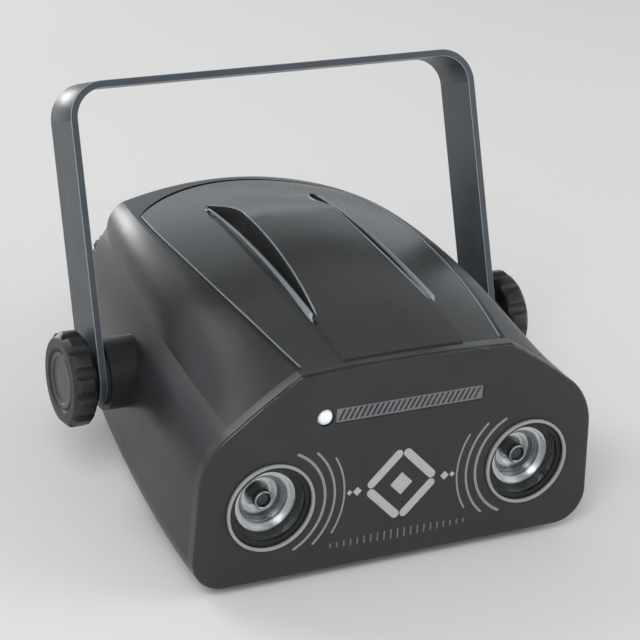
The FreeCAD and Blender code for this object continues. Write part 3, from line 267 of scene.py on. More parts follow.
def clear(name, colour, rough=0.02, smear=0.06, ior=1.49):
    """Clear glass or acrylic with faint smears."""
    graph = Graph(name)
    graph.set(Base_Color=(*colour, 1.0), IOR=ior, Transmission_Weight=1.0)
    film = graph.noise(1.0, 4.0, 0.6, graph.stretched((90.0, 60.0, 240.0)), 0.8)
    graph.roughness(graph.spread(film, rough, rough + smear, 0.45, 0.85))
    return graph.material


def rubber(name, colour, light):
    """Moulded rubber: dull, with a fine grain."""
    graph = Graph(name)
    cloud = graph.noise(220.0, 4.0, 0.6)
    graph.colour(graph.ramp(cloud, ((0.3, colour), (0.75, light))))
    graph.roughness(graph.spread(cloud, 0.68, 0.86))
    graph.normal(graph.bump(graph.noise(2400.0, 3.0, 0.7), 0.4, 0.05 * MM))
    graph.set(Specular_IOR_Level=0.3)
    return graph.material


def woven(name, colour, light, pitch):
    """A fine woven screen: over and under threads from two crossed waves."""
    graph = Graph(name)
    split = graph.add("ShaderNodeSeparateXYZ")
    graph.link(graph.place(), split.inputs["Vector"])
    waves = [graph.math("SINE", graph.math("MULTIPLY", split.outputs[letter], 2 * math.pi / pitch))
             for letter in "XY"]
    cloth = graph.math("MULTIPLY", *waves)
    graph.colour(graph.ramp(graph.spread(cloth, 0.0, 1.0, -1.0, 1.0), ((0.2, colour), (0.8, light))))
    graph.normal(graph.bump(cloth, 0.7, 0.1 * MM))
    graph.roughness(graph.spread(graph.noise(300.0), 0.6, 0.8))
    return graph.material


def ink(name, colour, light):
    """Screen-printed ink, a little uneven in cover."""
    graph = Graph(name)
    cover = graph.noise(2600.0, 3.0, 0.7)
    graph.colour(graph.ramp(cover, ((0.3, colour), (0.65, light))))
    graph.roughness(graph.spread(cover, 0.39, 0.55))
    graph.normal(graph.bump(cover, 0.15, 0.02 * MM))
    return graph.material


def board(name):
    """Circuit board: solder mask with tracks below it."""
    graph = Graph(name)
    track = graph.add("ShaderNodeTexBrick")
    for socket, value in (("Scale", 160.0), ("Color1", (0.008, 0.075, 0.028, 1.0)),
                          ("Color2", (0.011, 0.095, 0.036, 1.0)), ("Mortar", (0.02, 0.15, 0.06, 1.0)),
                          ("Mortar Size", 0.03)):
        track.inputs[socket].default_value = value
    graph.link(graph.place(), track.inputs["Vector"])
    graph.colour(track.outputs["Color"])
    graph.roughness(graph.spread(graph.noise(400.0), 0.28, 0.42))
    graph.normal(graph.bump(track.outputs["Fac"], 0.3, 0.04 * MM))
    return graph.material


def lamp_cap(name):
    """The lit cap of the lamp: milky plastic with a faint cool glow."""
    graph = Graph(name)
    cloud = graph.noise(700.0, 2.0)
    graph.colour(graph.ramp(cloud, ((0.3, (0.80, 0.85, 0.92)), (0.7, (0.90, 0.93, 0.98)))))
    graph.roughness(graph.spread(cloud, 0.16, 0.26))
    graph.set(Emission_Color=(0.86, 0.93, 1.0, 1.0), Emission_Strength=0.06, Specular_IOR_Level=0.6)
    return graph.material


MATERIALS = {
    "case_black": plastic("case_black", (0.018, 0.0182, 0.0205), (0.023, 0.0233, 0.026),
                          rough=0.36, grain=0.06, dust=0.03, specular=0.3, mottle=0.25),
    # The hood's black is a lighter copy of the case's black: painted light, so that the top reads brighter
    # than the sides.
    "hood_black": plastic("hood_black", (0.035, 0.0358, 0.0366), (0.041, 0.0422, 0.0434),
                          rough=0.27, grain=0.04, dust=0.02, specular=0.5, mottle=0.2),
    "panel_black": plastic("panel_black", (0.026, 0.0252, 0.0248), (0.031, 0.0302, 0.0298),
                           rough=0.24, grain=0.03, specular=0.35, mottle=0.3),
    "trim_pale": paint("trim_pale", (0.27, 0.272, 0.275), (0.33, 0.333, 0.336), rough=0.32),
    "inner_black": plastic("inner_black", (0.008, 0.008, 0.0085), (0.013, 0.013, 0.014),
                           rough=0.48, grain=0.25),
    "clear": clear("clear", (0.95, 0.98, 0.98)),
    "grille_grey": plastic("grille_grey", (0.14, 0.142, 0.15), (0.19, 0.192, 0.2), rough=0.42, grain=0.2),
    "lamp_white": lamp_cap("lamp_white"),
    "board_green": board("board_green"),
    "chip_black": plastic("chip_black", (0.012, 0.012, 0.013), (0.02, 0.02, 0.021), rough=0.5, grain=0.3),
    "can_metal": metal("can_metal", (0.42, 0.43, 0.46), (0.55, 0.56, 0.58), rough=0.3),
    "connector_ivory": plastic("connector_ivory", (0.66, 0.62, 0.5), (0.74, 0.71, 0.6),
                               rough=0.45, grain=0.2),
    "bench_metal": metal("bench_metal", (0.5, 0.51, 0.53), (0.6, 0.61, 0.63), rough=0.36,
                         lines=(90.0, 1800.0, 90.0)),
    "laser_brass": metal("laser_brass", (0.55, 0.37, 0.13), (0.68, 0.48, 0.2), rough=0.28),
    "steel": metal("steel", (0.46, 0.47, 0.49), (0.6, 0.61, 0.62), rough=0.3),
    "hub_white": plastic("hub_white", (0.62, 0.62, 0.6), (0.7, 0.7, 0.68), rough=0.5, grain=0.2),
    "bracket_grey": paint("bracket_grey", (0.031, 0.04, 0.049), (0.043, 0.054, 0.065), rough=0.36),
    "knob_black": plastic("knob_black", (0.009, 0.009, 0.0095), (0.015, 0.015, 0.016),
                          rough=0.42, grain=0.3, dust=0.12),
    "insert_brass": metal("insert_brass", (0.58, 0.4, 0.16), (0.7, 0.5, 0.22), rough=0.3),
    "rubber_black": rubber("rubber_black", (0.012, 0.012, 0.012), (0.022, 0.022, 0.021)),
    "screen_black": woven("screen_black", (0.004, 0.004, 0.004), (0.03, 0.03, 0.032), pitch=0.9 * MM),
}

# Painted shade in the steps of a reflector: how far its colour goes from dark to silver, at shares of its
# radius
RING_PAINTED_SHADE = ((0.3, 0.1), (0.44, 0.95), (0.56, 1.0), (0.66, 0.22), (0.76, 0.16), (0.84, 0.9), (0.95, 1.0))


def dress(node, material):
    """Give a CAD node one material."""
    item = NODES[node]
    item.data.materials.clear()
    item.data.materials.append(material)


def dress_all():
    """Give each CAD node the material of its slot, and the hood, the reflectors and the windows their own."""
    for row in frame["record"]["subparts"]:
        slot = row["material_slot"]
        if slot in MATERIALS:
            dress(row["node"], MATERIALS[slot])
    # The hood gets the lighter copy of the case's black: painted light on the top.
    dress("top_cover", MATERIALS["hood_black"])
    coated = clear("coated_window", (0.95, 0.98, 0.98), rough=0.01, smear=0.04, ior=1.2)
    for side, tag in SIDES:
        silver = turned(f"silver_{tag}", (0.62, 0.626, 0.636), (0.76, 0.766, 0.775), (0.09, 0.094, 0.102),
                        rough=0.26, axis_x=side * LENS_X * MM, axis_z=LENS_Z * MM, pitch=0.5 * MM,
                        rings=RING_PAINTED_SHADE, reach=REFLECTOR_R * MM)
        dress(f"reflector_{tag}", silver)
        dress(f"lens_window_{tag}", coated)


# Mesh helpers

def link_piece(name, mesh, body, material):
    """Make an object of a mesh that is in the row frame, and let it ride on a body."""
    item = bpy.data.objects.new(name, mesh)
    bpy.context.scene.collection.objects.link(item)
    mesh.materials.append(material)
    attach(item, body)
    return item


def finish_mesh(name, build, sharp=35.0):
    """Turn a bmesh into a mesh with smooth faces and sharp creases."""
    bmesh.ops.recalc_face_normals(build, faces=build.faces)
    mesh = bpy.data.meshes.new(name)
    build.to_mesh(mesh)
    build.free()
    mesh.shade_smooth()
    mesh.set_sharp_from_angle(angle=math.radians(sharp))
    return mesh


def turn_to(direction):
    """The rotation that takes +Z to a direction."""
    return Vector(direction).to_track_quat("Z", "Y").to_matrix().to_4x4()


def lathe(build, profile, at, direction, segments=64, closed=False):
    """Revolve (radius, height) points about a direction through a point; millimetres in, metres out."""
    frame_of = Matrix.Translation(Vector(at) * MM) @ turn_to(direction)
    rings = []
    for radius, height in profile:
        if radius < 1e-6:
            rings.append([build.verts.new(frame_of @ Vector((0, 0, height * MM)))])
            continue
        ring = []
        for step in range(segments):
            turn = 2 * math.pi * step / segments
            spot = Vector((radius * math.cos(turn), radius * math.sin(turn), height)) * MM
            ring.append(build.verts.new(frame_of @ spot))
        rings.append(ring)
    pairs = list(zip(rings, rings[1:]))
    if closed:
        pairs.append((rings[-1], rings[0]))
    for low, high in pairs:
        for step in range(segments):
            after = (step + 1) % segments
            corners = [low[step % len(low)], low[after % len(low)], high[after % len(high)],
                       high[step % len(high)]]
            corners = list(dict.fromkeys(corners))
            if len(corners) > 2:
                build.faces.new(corners)


def stroke(points, width, caps=8):
    """The outline of a line of some width with round ends, in the plane; millimetres."""
    half = width / 2
    left, right = [], []
    for index, point in enumerate(points):
        before = points[max(index - 1, 0)]
        after = points[min(index + 1, len(points) - 1)]
        along = (after - before).normalized()
        across = Vector((-along.y, along.x)) * half
        left.append(point + across)
        right.append(point - across)
    outline = list(left)
    for centre, first in ((points[-1], left[-1]), (points[0], right[0])):
        arm = first - centre
        for step in range(1, caps):
            turn = -math.pi * step / caps
            outline.append(centre + Vector((arm.x * math.cos(turn) - arm.y * math.sin(turn),
                                            arm.x * math.sin(turn) + arm.y * math.cos(turn))))
        if centre == points[-1]:
            outline.extend(reversed(right))
    return outline


def sector(centre, radius, first, last, steps=40):
    """Points along an arc, from one angle to another in degrees."""
    found = []
    for step in range(steps + 1):
        turn = math.radians(first + (last - first) * step / steps)
        found.append(Vector((centre[0] + radius * math.cos(turn), centre[1] + radius * math.sin(turn))))
    return found


SLAB_SINK = 0.02


def close_slab(build, low, high):
    """Close the faces of a flat piece between two rings of corners."""
    build.faces.new(high)
    build.faces.new(list(reversed(low)))
    for index in range(len(high)):
        after = (index + 1) % len(high)
        build.faces.new((low[index], low[after], high[after], high[index]))


def slab_of(build, outline, y, thick, outward):
    """A flat piece of an outline in X and Z on a plane of constant Y, raised along outward (-1 or 1)."""
    low = [build.verts.new((p.x * MM, (y - outward * SLAB_SINK) * MM, p.y * MM)) for p in outline]
    high = [build.verts.new((p.x * MM, (y + outward * thick) * MM, p.y * MM)) for p in outline]
    close_slab(build, low, high)


WELD_REACH = 0.000002


def weld_corners(item):
    """Join the split corners of a CAD mesh."""
    weld = item.modifiers.new("weld", "WELD")
    weld.merge_threshold = WELD_REACH


def join_flats(item):
    """Join the split corners of a CAD mesh and the triangles of its flat faces."""
    weld_corners(item)
    flats = item.modifiers.new("flats", "DECIMATE")
    flats.decimate_type = "DISSOLVE"
    flats.angle_limit = math.radians(0.3)


def smooth_by_angle(node, angle=18.0):
    """Shade a CAD node smoothly across edges that turn less than an angle."""
    item = NODES[node]
    weld_corners(item)
    tree = bpy.data.node_groups.new("smooth_by_angle", "GeometryNodeTree")
    for direction in ("INPUT", "OUTPUT"):
        tree.interface.new_socket("Geometry", in_out=direction, socket_type="NodeSocketGeometry")
    source = tree.nodes.new("NodeGroupInput")
    target = tree.nodes.new("NodeGroupOutput")
    plain = tree.nodes.new("GeometryNodeRemoveAttribute")
    plain.inputs["Name"].default_value = "custom_normal"
    smooth = tree.nodes.new("GeometryNodeSetShadeSmooth")
    smooth.domain = "FACE"
    sharp = tree.nodes.new("GeometryNodeSetShadeSmooth")
    sharp.domain = "EDGE"
    sharp.inputs["Shade Smooth"].default_value = False
    bend = tree.nodes.new("GeometryNodeInputMeshEdgeAngle")
    limit = tree.nodes.new("ShaderNodeMath")
    limit.operation = "GREATER_THAN"
    limit.inputs[1].default_value = math.radians(angle)
    for first, last in ((source.outputs[0], plain.inputs["Geometry"]),
                        (plain.outputs["Geometry"], smooth.inputs["Geometry"]),
                        (smooth.outputs["Geometry"], sharp.inputs["Geometry"]),
                        (bend.outputs["Unsigned Angle"], limit.inputs[0]),
                        (limit.outputs["Value"], sharp.inputs["Selection"]),
                        (sharp.outputs["Geometry"], target.inputs[0])):
        tree.links.new(first, last)
    shading = item.modifiers.new("smooth_by_angle", "NODES")
    shading.node_group = tree


def soften(node, width, edge=None, angle=30.0, segments=2):
    """Round the sharp edges of a CAD node a little, so that they catch the light."""
    item = NODES[node]
    join_flats(item)
    bevel = item.modifiers.new("bevel", "BEVEL")
    bevel.width = width * MM
    bevel.segments = segments
    bevel.limit_method = "ANGLE"
    bevel.angle_limit = math.radians(angle)
    bevel.use_clamp_overlap = True
    bevel.harden_normals = True
    # A lighter material on the faces of the bevel is a painted highlight along the edges.
    if edge is not None:
        item.data.materials.append(edge)
        bevel.material = len(item.data.materials) - 1


# Pieces

INK = ink("ink_pale", (0.36, 0.365, 0.37), (0.44, 0.446, 0.452))
INK_LINE = ink("ink_line", (0.21, 0.212, 0.214), (0.27, 0.272, 0.274))
INK_DIM = ink("ink_dim", (0.125, 0.118, 0.115), (0.17, 0.16, 0.157))
# The glass of the exit lens is tinted dark: painted shade for the dark middle of the lens.
SHADE_TINTED_GLASS = clear("lens_glass", (0.3, 0.33, 0.38), rough=0.01, smear=0.03)
# A light grey for the beads on the black case: a painted highlight along the vents and ridges.
BEAD_HIGHLIGHT = plastic("bead_painted_highlight", (0.2, 0.21, 0.22), (0.27, 0.282, 0.292), rough=0.3, grain=0.05,
                specular=0.7, mottle=0.5)
# A lighter paint for the bevelled edges of the bracket: a painted highlight.
EDGE_HIGHLIGHT = paint("bracket_edge_painted_highlight", (0.26, 0.275, 0.29), (0.34, 0.355, 0.37), rough=0.34)
KNOB_CAP = plastic("knob_cap", (0.02, 0.0205, 0.0215), (0.03, 0.0305, 0.032), rough=0.3, grain=0.1)
BLACK_GLOSS = plastic("core_black", (0.006, 0.006, 0.007), (0.009, 0.009, 0.010), rough=0.18, grain=0.05)

# The printed motif
PRINT_RISE = 0.05
ARCS = ((15.6, 62), (18.4, 46), (21.2, 31))  # radius, and half of the angle
ARC_WIDTH, ARC_THINNER = 0.75, 0.12  # the innermost arc, and what each next one loses
FRAME_REACH, FRAME_WIDTH = 10.2, 2.4
FRAME_ENDS = (0.13, 0.87)  # where a side of the frame starts and ends, as shares of it
CORE_REACH = 3.3
SPOTS = ((13.0, 1.3), (15.3, 0.8))  # place and reach of the small lozenges
TICK_COUNT, TICK_PITCH, TICK_WIDTH, TICK_Z = 21, 2.0, 0.42, 9.6
TICK_LOW, TICK_GAIN, TICK_FADE = 0.5, 0.9, 21.0  # half heights, and the distance at which the gain ends


def lozenge(x, z, reach):
    """The corners of a square that stands on its tip."""
    return [Vector((x, z + reach)), Vector((x + reach, z)), Vector((x, z - reach)), Vector((x - reach, z))]


def front_print(build, outline):
    """Ink on the front panel."""
    slab_of(build, outline, FRONT_Y, PRINT_RISE, -1)


def make_print():
    """A plain printed motif: arcs that spread from both lenses, a frame of lozenges and a row of ticks."""
    lines = bmesh.new()
    for side, _ in SIDES:
        middle = 0 if side < 0 else 180
        for number, (radius, span) in enumerate(ARCS):
            arc = sector((side * LENS_X, LENS_Z), radius, middle - span, middle + span)
            front_print(lines, stroke(arc, ARC_WIDTH - ARC_THINNER * number))
    link_piece("front_arcs", finish_mesh("front_arcs", lines), "case", INK_LINE)
    bold = bmesh.new()
    corners = lozenge(0, LENS_Z, FRAME_REACH)
    for first, last in zip(corners, corners[1:] + corners[:1]):
        front_print(bold, stroke([first.lerp(last, share) for share in FRAME_ENDS], FRAME_WIDTH))
    front_print(bold, lozenge(0, LENS_Z, CORE_REACH))
    for side, _ in SIDES:
        for x, reach in SPOTS:
            front_print(bold, lozenge(side * x, LENS_Z, reach))
    link_piece("front_print", finish_mesh("front_print", bold), "case", INK)
    faint = bmesh.new()
    for number in range(TICK_COUNT):
        x = TICK_PITCH * (number - TICK_COUNT // 2)
        height = TICK_LOW + TICK_GAIN * (1 - abs(x) / TICK_FADE)
        line = [Vector((x, TICK_Z - height)), Vector((x, TICK_Z + height))]
        front_print(faint, stroke(line, TICK_WIDTH, caps=4))
    link_piece("front_ticks", finish_mesh("front_ticks", faint), "case", INK_DIM)


# The exit lens: profiles as (radius, height) above the foot of the holder
LENS_FOOT = 10.2  # behind the front plane
LENS_HOLDER = ((0, 0), (2.1, 0), (2.1, 2.6), (2.5, 3.2), (2.6, 3.6), (2.6, 5.2), (2.4, 5.5), (2.05, 5.5),
               (1.95, 5.1), (1.9, 4.3), (0, 4.3))
LENS_RIM = ((2.45, 5.35), (2.45, 5.72), (2.28, 5.85), (2.1, 5.72), (2.1, 5.35))
GLASS_RADIUS, GLASS_FOOT = 1.85, 4.35
DOME_FOOT, DOME_RISE = 4.7, 0.75


def make_lens_core(side, tag):
    """The exit lens in the middle of a reflector: a black holder, a bright rim and a domed glass tinted dark
    as painted shade.
    """
    at = (side * LENS_X, FRONT_Y + LENS_FOOT, LENS_Z)
    out = (0, -1, 0)
    holder = bmesh.new()
    lathe(holder, LENS_HOLDER, at, out)
    link_piece(f"lens_core_{tag}", finish_mesh("lens_core", holder), "case", BLACK_GLOSS)
    rim = bmesh.new()
    lathe(rim, LENS_RIM, at, out, closed=True)
    link_piece(f"lens_rim_{tag}", finish_mesh("lens_rim", rim), "case", MATERIALS["steel"])
    glass = bmesh.new()
    angles = [math.radians(angle) for angle in range(90, -1, -10)]
    dome = [(GLASS_RADIUS * math.sin(angle), DOME_FOOT + DOME_RISE * math.cos(angle)) for angle in angles]
    lathe(glass, [(0, GLASS_FOOT), (GLASS_RADIUS, GLASS_FOOT)] + dome, at, out)
    link_piece(f"lens_glass_{tag}", finish_mesh("lens_glass", glass), "case", SHADE_TINTED_GLASS)


TOP_DEPTH = 75.0  # from the front plane to the highest part of the case


def eased(depth, front, top, rear):
    """A width that has its own value at the front, at the top of the case and at the rear."""
    if depth < TOP_DEPTH:
        share, end = (TOP_DEPTH - depth) / TOP_DEPTH, front
    else:
        share, end = (depth - TOP_DEPTH) / (REAR_Y - FRONT_Y - TOP_DEPTH), rear
    return top - (top - end) * share ** 2


def round_through(first, middle, last, steps=24):
    """Points along the circle through three points of a plane."""
    (ax, ay), (bx, by), (cx, cy) = first, middle, last
    scale = 2 * (ax * (by - cy) + bx * (cy - ay) + cx * (ay - by))
    squares = [x * x + y * y for x, y in (first, middle, last)]
    ux = (squares[0] * (by - cy) + squares[1] * (cy - ay) + squares[2] * (ay - by)) / scale
    uy = (squares[0] * (cx - bx) + squares[1] * (ax - cx) + squares[2] * (bx - ax)) / scale
    start = math.atan2(ay - uy, ax - ux)
    sweep = (math.atan2(cy - uy, cx - ux) - start) % math.tau
    via = (math.atan2(by - uy, bx - ux) - start) % math.tau
    if via > sweep:
        sweep -= math.tau
    radius = math.hypot(ax - ux, ay - uy)
    return [(ux + radius * math.cos(start + sweep * step / steps),
             uy + radius * math.sin(start + sweep * step / steps)) for step in range(steps + 1)]


def surface_of(node):
    """The faces of a CAD node, to drop points on."""
    mesh = NODES[node].data
    return BVHTree.FromPolygons([v.co for v in mesh.vertices], [p.vertices for p in mesh.polygons])


CAST_FROM = 0.2  # outside the part, in metres


def dropped_path(tree, plan):
    """The highest points of a surface at places of the plan; millimetres."""
    casts = [tree.ray_cast(Vector((x * MM, y * MM, CAST_FROM)), Vector((0, 0, -1))) for x, y in plan]
    return [cast[0] / MM for cast in casts if cast[0] is not None]


def bead(build, path, radii, sides=8):
    """A thin round bead along a path; millimetres."""
    rings = []
    for index, (point, radius) in enumerate(zip(path, radii)):
        along = (path[min(index + 1, len(path) - 1)] - path[max(index - 1, 0)]).normalized()
        across = along.cross(Vector((0, 0, 1))).normalized()
        upward_axis = across.cross(along)
        ring = []
        for step in range(sides):
            turn = 2 * math.pi * step / sides
            spot = point + (across * math.cos(turn) + upward_axis * math.sin(turn)) * radius
            ring.append(build.verts.new(spot * MM))
        rings.append(ring)
    for low, high in zip(rings, rings[1:]):
        for step in range(sides):
            after = (step + 1) % sides
            build.faces.new((low[step], low[after], high[after], high[step]))
    build.faces.new(list(reversed(rings[0])))
    build.faces.new(rings[-1])


# The vents and ridges of the top cover in plan, on its right half
VENT_RIM, VENT_RIM_RUN, VENT_RIM_STEPS = (17.35, 25.4), (0.8, -73.4), 40
VENT_TIP, VENT_REAR, VENT_WIDEST = (17.0, -47.0), (16.0, 25.0), (13.4, 6.0)
VENT_BEHIND, VENT_AHEAD = (-1.8, 2.0), (-1.0, 0.0)  # how far the inner edge bows out of its chords
VENT_INSET = 0.3
OUTER_BEAD, INNER_BEAD = (0.36, 0.6), (0.24, 0.06)  # radius at the rear, and what it gains to the front
BEAD_END = 0.12
COVER_WIDTHS, RIDGE_INSET = (60.0, 74.0, 57.0), 1.75
RIDGE_START, RIDGE_RUN, RIDGE_STEPS, RIDGE_BEAD = 5.0, 98.0, 60, 0.27


def beside_chord(first, last, bow):
    """A point beside the middle of a chord."""
    return tuple((a + b) / 2 + out for a, b, out in zip(first, last, bow))


def make_beads():
    """The beads along both vents and along the ridges of the case, in a light grey that is a painted
    highlight.
    """
    cover = surface_of("top_cover")
    behind = beside_chord(VENT_REAR, VENT_WIDEST, VENT_BEHIND)
    ahead = beside_chord(VENT_TIP, VENT_WIDEST, VENT_AHEAD)
    leaf = round_through(VENT_REAR, behind, VENT_WIDEST) + round_through(VENT_WIDEST, ahead, VENT_TIP)[1:]
    shares = [step / VENT_RIM_STEPS for step in range(VENT_RIM_STEPS + 1)]
    depths = [RIDGE_START + RIDGE_RUN * step / RIDGE_STEPS for step in range(RIDGE_STEPS + 1)]
    for side, tag in SIDES:
        outer = [(side * (VENT_RIM[0] + VENT_RIM_RUN[0] * share), VENT_RIM[1] + VENT_RIM_RUN[1] * share)
                 for share in shares]
        inner = [(side * (x - VENT_INSET), y) for x, y in leaf]
        vents = bmesh.new()
        for plan, (width, grow) in ((outer, OUTER_BEAD), (inner, INNER_BEAD)):
            path = dropped_path(cover, plan)
            count = len(path) - 1
            radii = [width + grow * (index / count) ** 2 for index in range(count + 1)]
            radii[0] = radii[-1] = BEAD_END
            bead(vents, path, radii)
        link_piece(f"vent_bead_{tag}", finish_mesh("vent_bead", vents), "case", BEAD_HIGHLIGHT)
        edge = bmesh.new()
        plan = [(side * (eased(depth, *COVER_WIDTHS) / 2 - RIDGE_INSET), FRONT_Y + depth) for depth in depths]
        path = dropped_path(cover, plan)
        bead(edge, path, [RIDGE_BEAD] * len(path))
        link_piece(f"ridge_bead_{tag}", finish_mesh("ridge_bead", edge), "case", BEAD_HIGHLIGHT)


# A screw head: shares of its radius and height
HEAD_SEGMENTS, HEAD_SHARP = 40, 28
HEAD_SHOULDER = ((1.0, 0.0), (1.0, 0.55), (0.95, 0.78), (0.84, 0.94), (0.7, 1.0))
CROSS_ARM, CROSS_HALF, CROSS_DEPTH, CROSS_TAPER = 0.52, 0.14, 0.6, 0.75
DOWN, REARWARD = (0, 0, -1), (0, 1, 0)
# Name of the replaced node, places, direction, radius and height of the heads
SCREWS = (
    ("fan_screws", [(x, REAR_Y, FAN_Z + z) for x in (-FAN_SCREW, FAN_SCREW) for z in (-FAN_SCREW, FAN_SCREW)],
     REARWARD, 2.2, 1.5),
    ("case_screws", [(side * x, y, CASE_SCREW_Z) for side in (-1, 1) for x, y in ((48, -49), (38, 41))],
     DOWN, 2.7, 2.2),
    ("bench_screws", [(side * 10, -34, UNDERSIDE_Z) for side in (-1, 1)], DOWN, 2.7, 1.6),
)


def cross_head(build, at, direction, radius, height):
    """A screw head with a rounded shoulder and a cross recess; millimetres."""
    frame_of = Matrix.Translation(Vector(at) * MM) @ turn_to(direction)
    shoulder = [(radius * across, height * up) for across, up in HEAD_SHOULDER]
    lathe(build, shoulder, at, direction, HEAD_SEGMENTS)
    rim = list(build.verts)[-HEAD_SEGMENTS:]
    arm, half, floor = radius * CROSS_ARM, radius * CROSS_HALF, height - height * CROSS_DEPTH
    plus = [(half, half), (half, arm), (-half, arm), (-half, half), (-arm, half), (-arm, -half),
            (-half, -half), (-half, -arm), (half, -arm), (half, -half), (arm, -half), (arm, half)]
    high = [build.verts.new(frame_of @ (Vector((x, y, height)) * MM)) for x, y in plus]
    low = [build.verts.new(frame_of @ (Vector((CROSS_TAPER * x, CROSS_TAPER * y, floor)) * MM))
           for x, y in plus]
    edges = []
    for ring in (rim, high):
        for index, vert in enumerate(ring):
            pair = (vert, ring[(index + 1) % len(ring)])
            edges.append(build.edges.get(pair) or build.edges.new(pair))
    bmesh.ops.triangle_fill(build, use_beauty=True, edges=edges)
    for index in range(len(plus)):
        after = (index + 1) % len(plus)
        build.faces.new((high[index], high[after], low[after], low[index]))
    build.faces.new(low)


def make_screws():
    """Cross-recess heads of the fan screws, the case screws and the bench screws."""
    for name, spots, direction, radius, height in SCREWS:
        heads = bmesh.new()
        for at in spots:
            cross_head(heads, at, direction, radius, height)
        mesh = finish_mesh(name, heads, HEAD_SHARP)
        item = link_piece(name + "_heads", mesh, "case", MATERIALS["steel"])
        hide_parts(name)


FOOT_RADIUS, FOOT_HEIGHT, FOOT_EDGE, FOOT_SEGMENTS = 5.0, 2.5, 0.6, 56
FOOT_DIMPLE = [(2.4, 2.5), (2.1, 2.35), (1.9, 1.9), (0, 1.8)]
FEET = ((38, -55), (27, 43))  # places on the right half


def make_feet():
    """Rubber feet with a rounded edge and a moulded dimple."""
    feet = bmesh.new()
    angles = [math.radians(angle) for angle in range(90, -1, -15)]
    edge = [(FOOT_RADIUS - FOOT_EDGE + FOOT_EDGE * math.sin(angle),
             FOOT_HEIGHT - FOOT_EDGE + FOOT_EDGE * math.cos(angle)) for angle in angles]
    profile = [(0, 0), (FOOT_RADIUS, 0)] + edge + FOOT_DIMPLE
    for side, _ in SIDES:
        for x, y in FEET:
            lathe(feet, profile, (side * x, y, UNDERSIDE_Z), DOWN, FOOT_SEGMENTS)
    mesh = finish_mesh("feet", feet)
    item = link_piece("moulded_feet", mesh, "case", MATERIALS["rubber_black"])
    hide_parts("rubber_feet")


# The rear: print, dials, inlet and slider
REAR_INK_RISE, REAR_INK_SINK = 0.05, 0.03
DIAL_LIMIT, DIAL_TICKS, DIAL_TICK_FOOT = 140, 11, 7.7
LONG_TICK, SHORT_TICK, LONG_EVERY = (9.2, 0.32), (8.7, 0.2), 5  # reach, and half of the width
DOT_RADIUS, DOT_Z, SLIDE_TRAVEL = 0.45, 22.0, 2
POINTER_ENDS, POINTER_WIDTH, POINTER_RISE = (1.0, 6.0), 0.72, 0.8
BEZEL = ((3.85, -1.6), (3.85, 0.35), (4.05, 0.55), (4.7, 0.55), (5.05, 0.3), (5.1, -0.05), (3.95, -0.05))
PIN, PIN_SEGMENTS = ((0, -7.5), (1.04, -7.5), (1.04, -0.3), (0.9, -0.02), (0.6, 0.1), (0, 0.12)), 40
RIB_PLACES, RIB_ENDS, RIB_WIDTH, RIB_RISE = (-0.9, 0.0, 0.9), (17.0, 19.0), 0.36, 0.28


def rear_print(build, outline, tree):
    """Ink on the rear wall: every corner of the outline is dropped on the wall."""
    high, low = [], []
    for x, z in outline:
        hit = tree.ray_cast(Vector((x * MM, CAST_FROM, z * MM)), Vector((0, -1, 0)))[0]
        high.append(build.verts.new((x * MM, hit.y + REAR_INK_RISE * MM, z * MM)))
        low.append(build.verts.new((x * MM, hit.y - REAR_INK_SINK * MM, z * MM)))
    close_slab(build, low, high)


def make_rear_print():
    """The ticks around both dials, and the dots over the slide switch."""
    wall = surface_of("upper_shell")
    marks = bmesh.new()
    for side, _ in SIDES:
        centre = Vector((side * CONTROL_X, CONTROL_Z))
        for number in range(DIAL_TICKS):
            turn = math.radians(-DIAL_LIMIT + 2 * DIAL_LIMIT * number / (DIAL_TICKS - 1))
            away = Vector((math.sin(turn), math.cos(turn)))
            reach, half = SHORT_TICK if number % LONG_EVERY else LONG_TICK
            across = Vector((away.y, -away.x)) * half
            foot, end = centre + away * DIAL_TICK_FOOT, centre + away * reach
            rear_print(marks, [foot + across, end + across, end - across, foot - across], wall)
    for offset in (-SLIDE_TRAVEL, SLIDE_TRAVEL):
        angles = [math.radians(angle) for angle in range(0, 360, 30)]
        dot = [(CONTROL_X + offset + DOT_RADIUS * math.cos(angle), DOT_Z + DOT_RADIUS * math.sin(angle))
               for angle in angles]
        rear_print(marks, dot, wall)
    link_piece("rear_print", finish_mesh("rear_print", marks), "case", INK)


def make_rear():
    """The pointers of the dials, the inlet's bezel and pin, and the ribs of the slider."""
    for side, body in ((-1, "sound_dial"), (1, "speed_dial")):
        pointer = bmesh.new()
        line = [Vector((side * CONTROL_X, CONTROL_Z + end)) for end in POINTER_ENDS]
        slab_of(pointer, stroke(line, POINTER_WIDTH), DIAL_FACE_Y, POINTER_RISE, 1)
        link_piece(f"{body}_pointer", finish_mesh("pointer", pointer), body, INK)
    black = MATERIALS["inner_black"]
    bezel = bmesh.new()
    lathe(bezel, BEZEL, (-CONTROL_X, REAR_Y, INLET_Z), REARWARD, closed=True)
    link_piece("inlet_bezel", finish_mesh("inlet_bezel", bezel), "case", black)
    pin = bmesh.new()
    lathe(pin, PIN, (-CONTROL_X, INLET_PIN_Y, INLET_Z), REARWARD, PIN_SEGMENTS)
    link_piece("inlet_contact", finish_mesh("inlet_contact", pin), "case", MATERIALS["steel"])
    ribs = bmesh.new()
    for offset in RIB_PLACES:
        line = [Vector((CONTROL_X + offset, end)) for end in RIB_ENDS]
        slab_of(ribs, stroke(line, RIB_WIDTH, caps=6), SLIDER_FACE_Y, RIB_RISE, 1)
    link_piece("slider_ribs", finish_mesh("slider_ribs", ribs), "mode", black)


CAP_PROFILE = ((0, -0.05), (8.0, -0.05), (8.0, 0.35), (7.8, 0.62), (7.3, 0.7), (6.7, 0.62), (6.5, 0.35),
               (6.2, 0.22), (3.0, 0.32), (0, 0.36))
CAP_SEGMENTS = 72


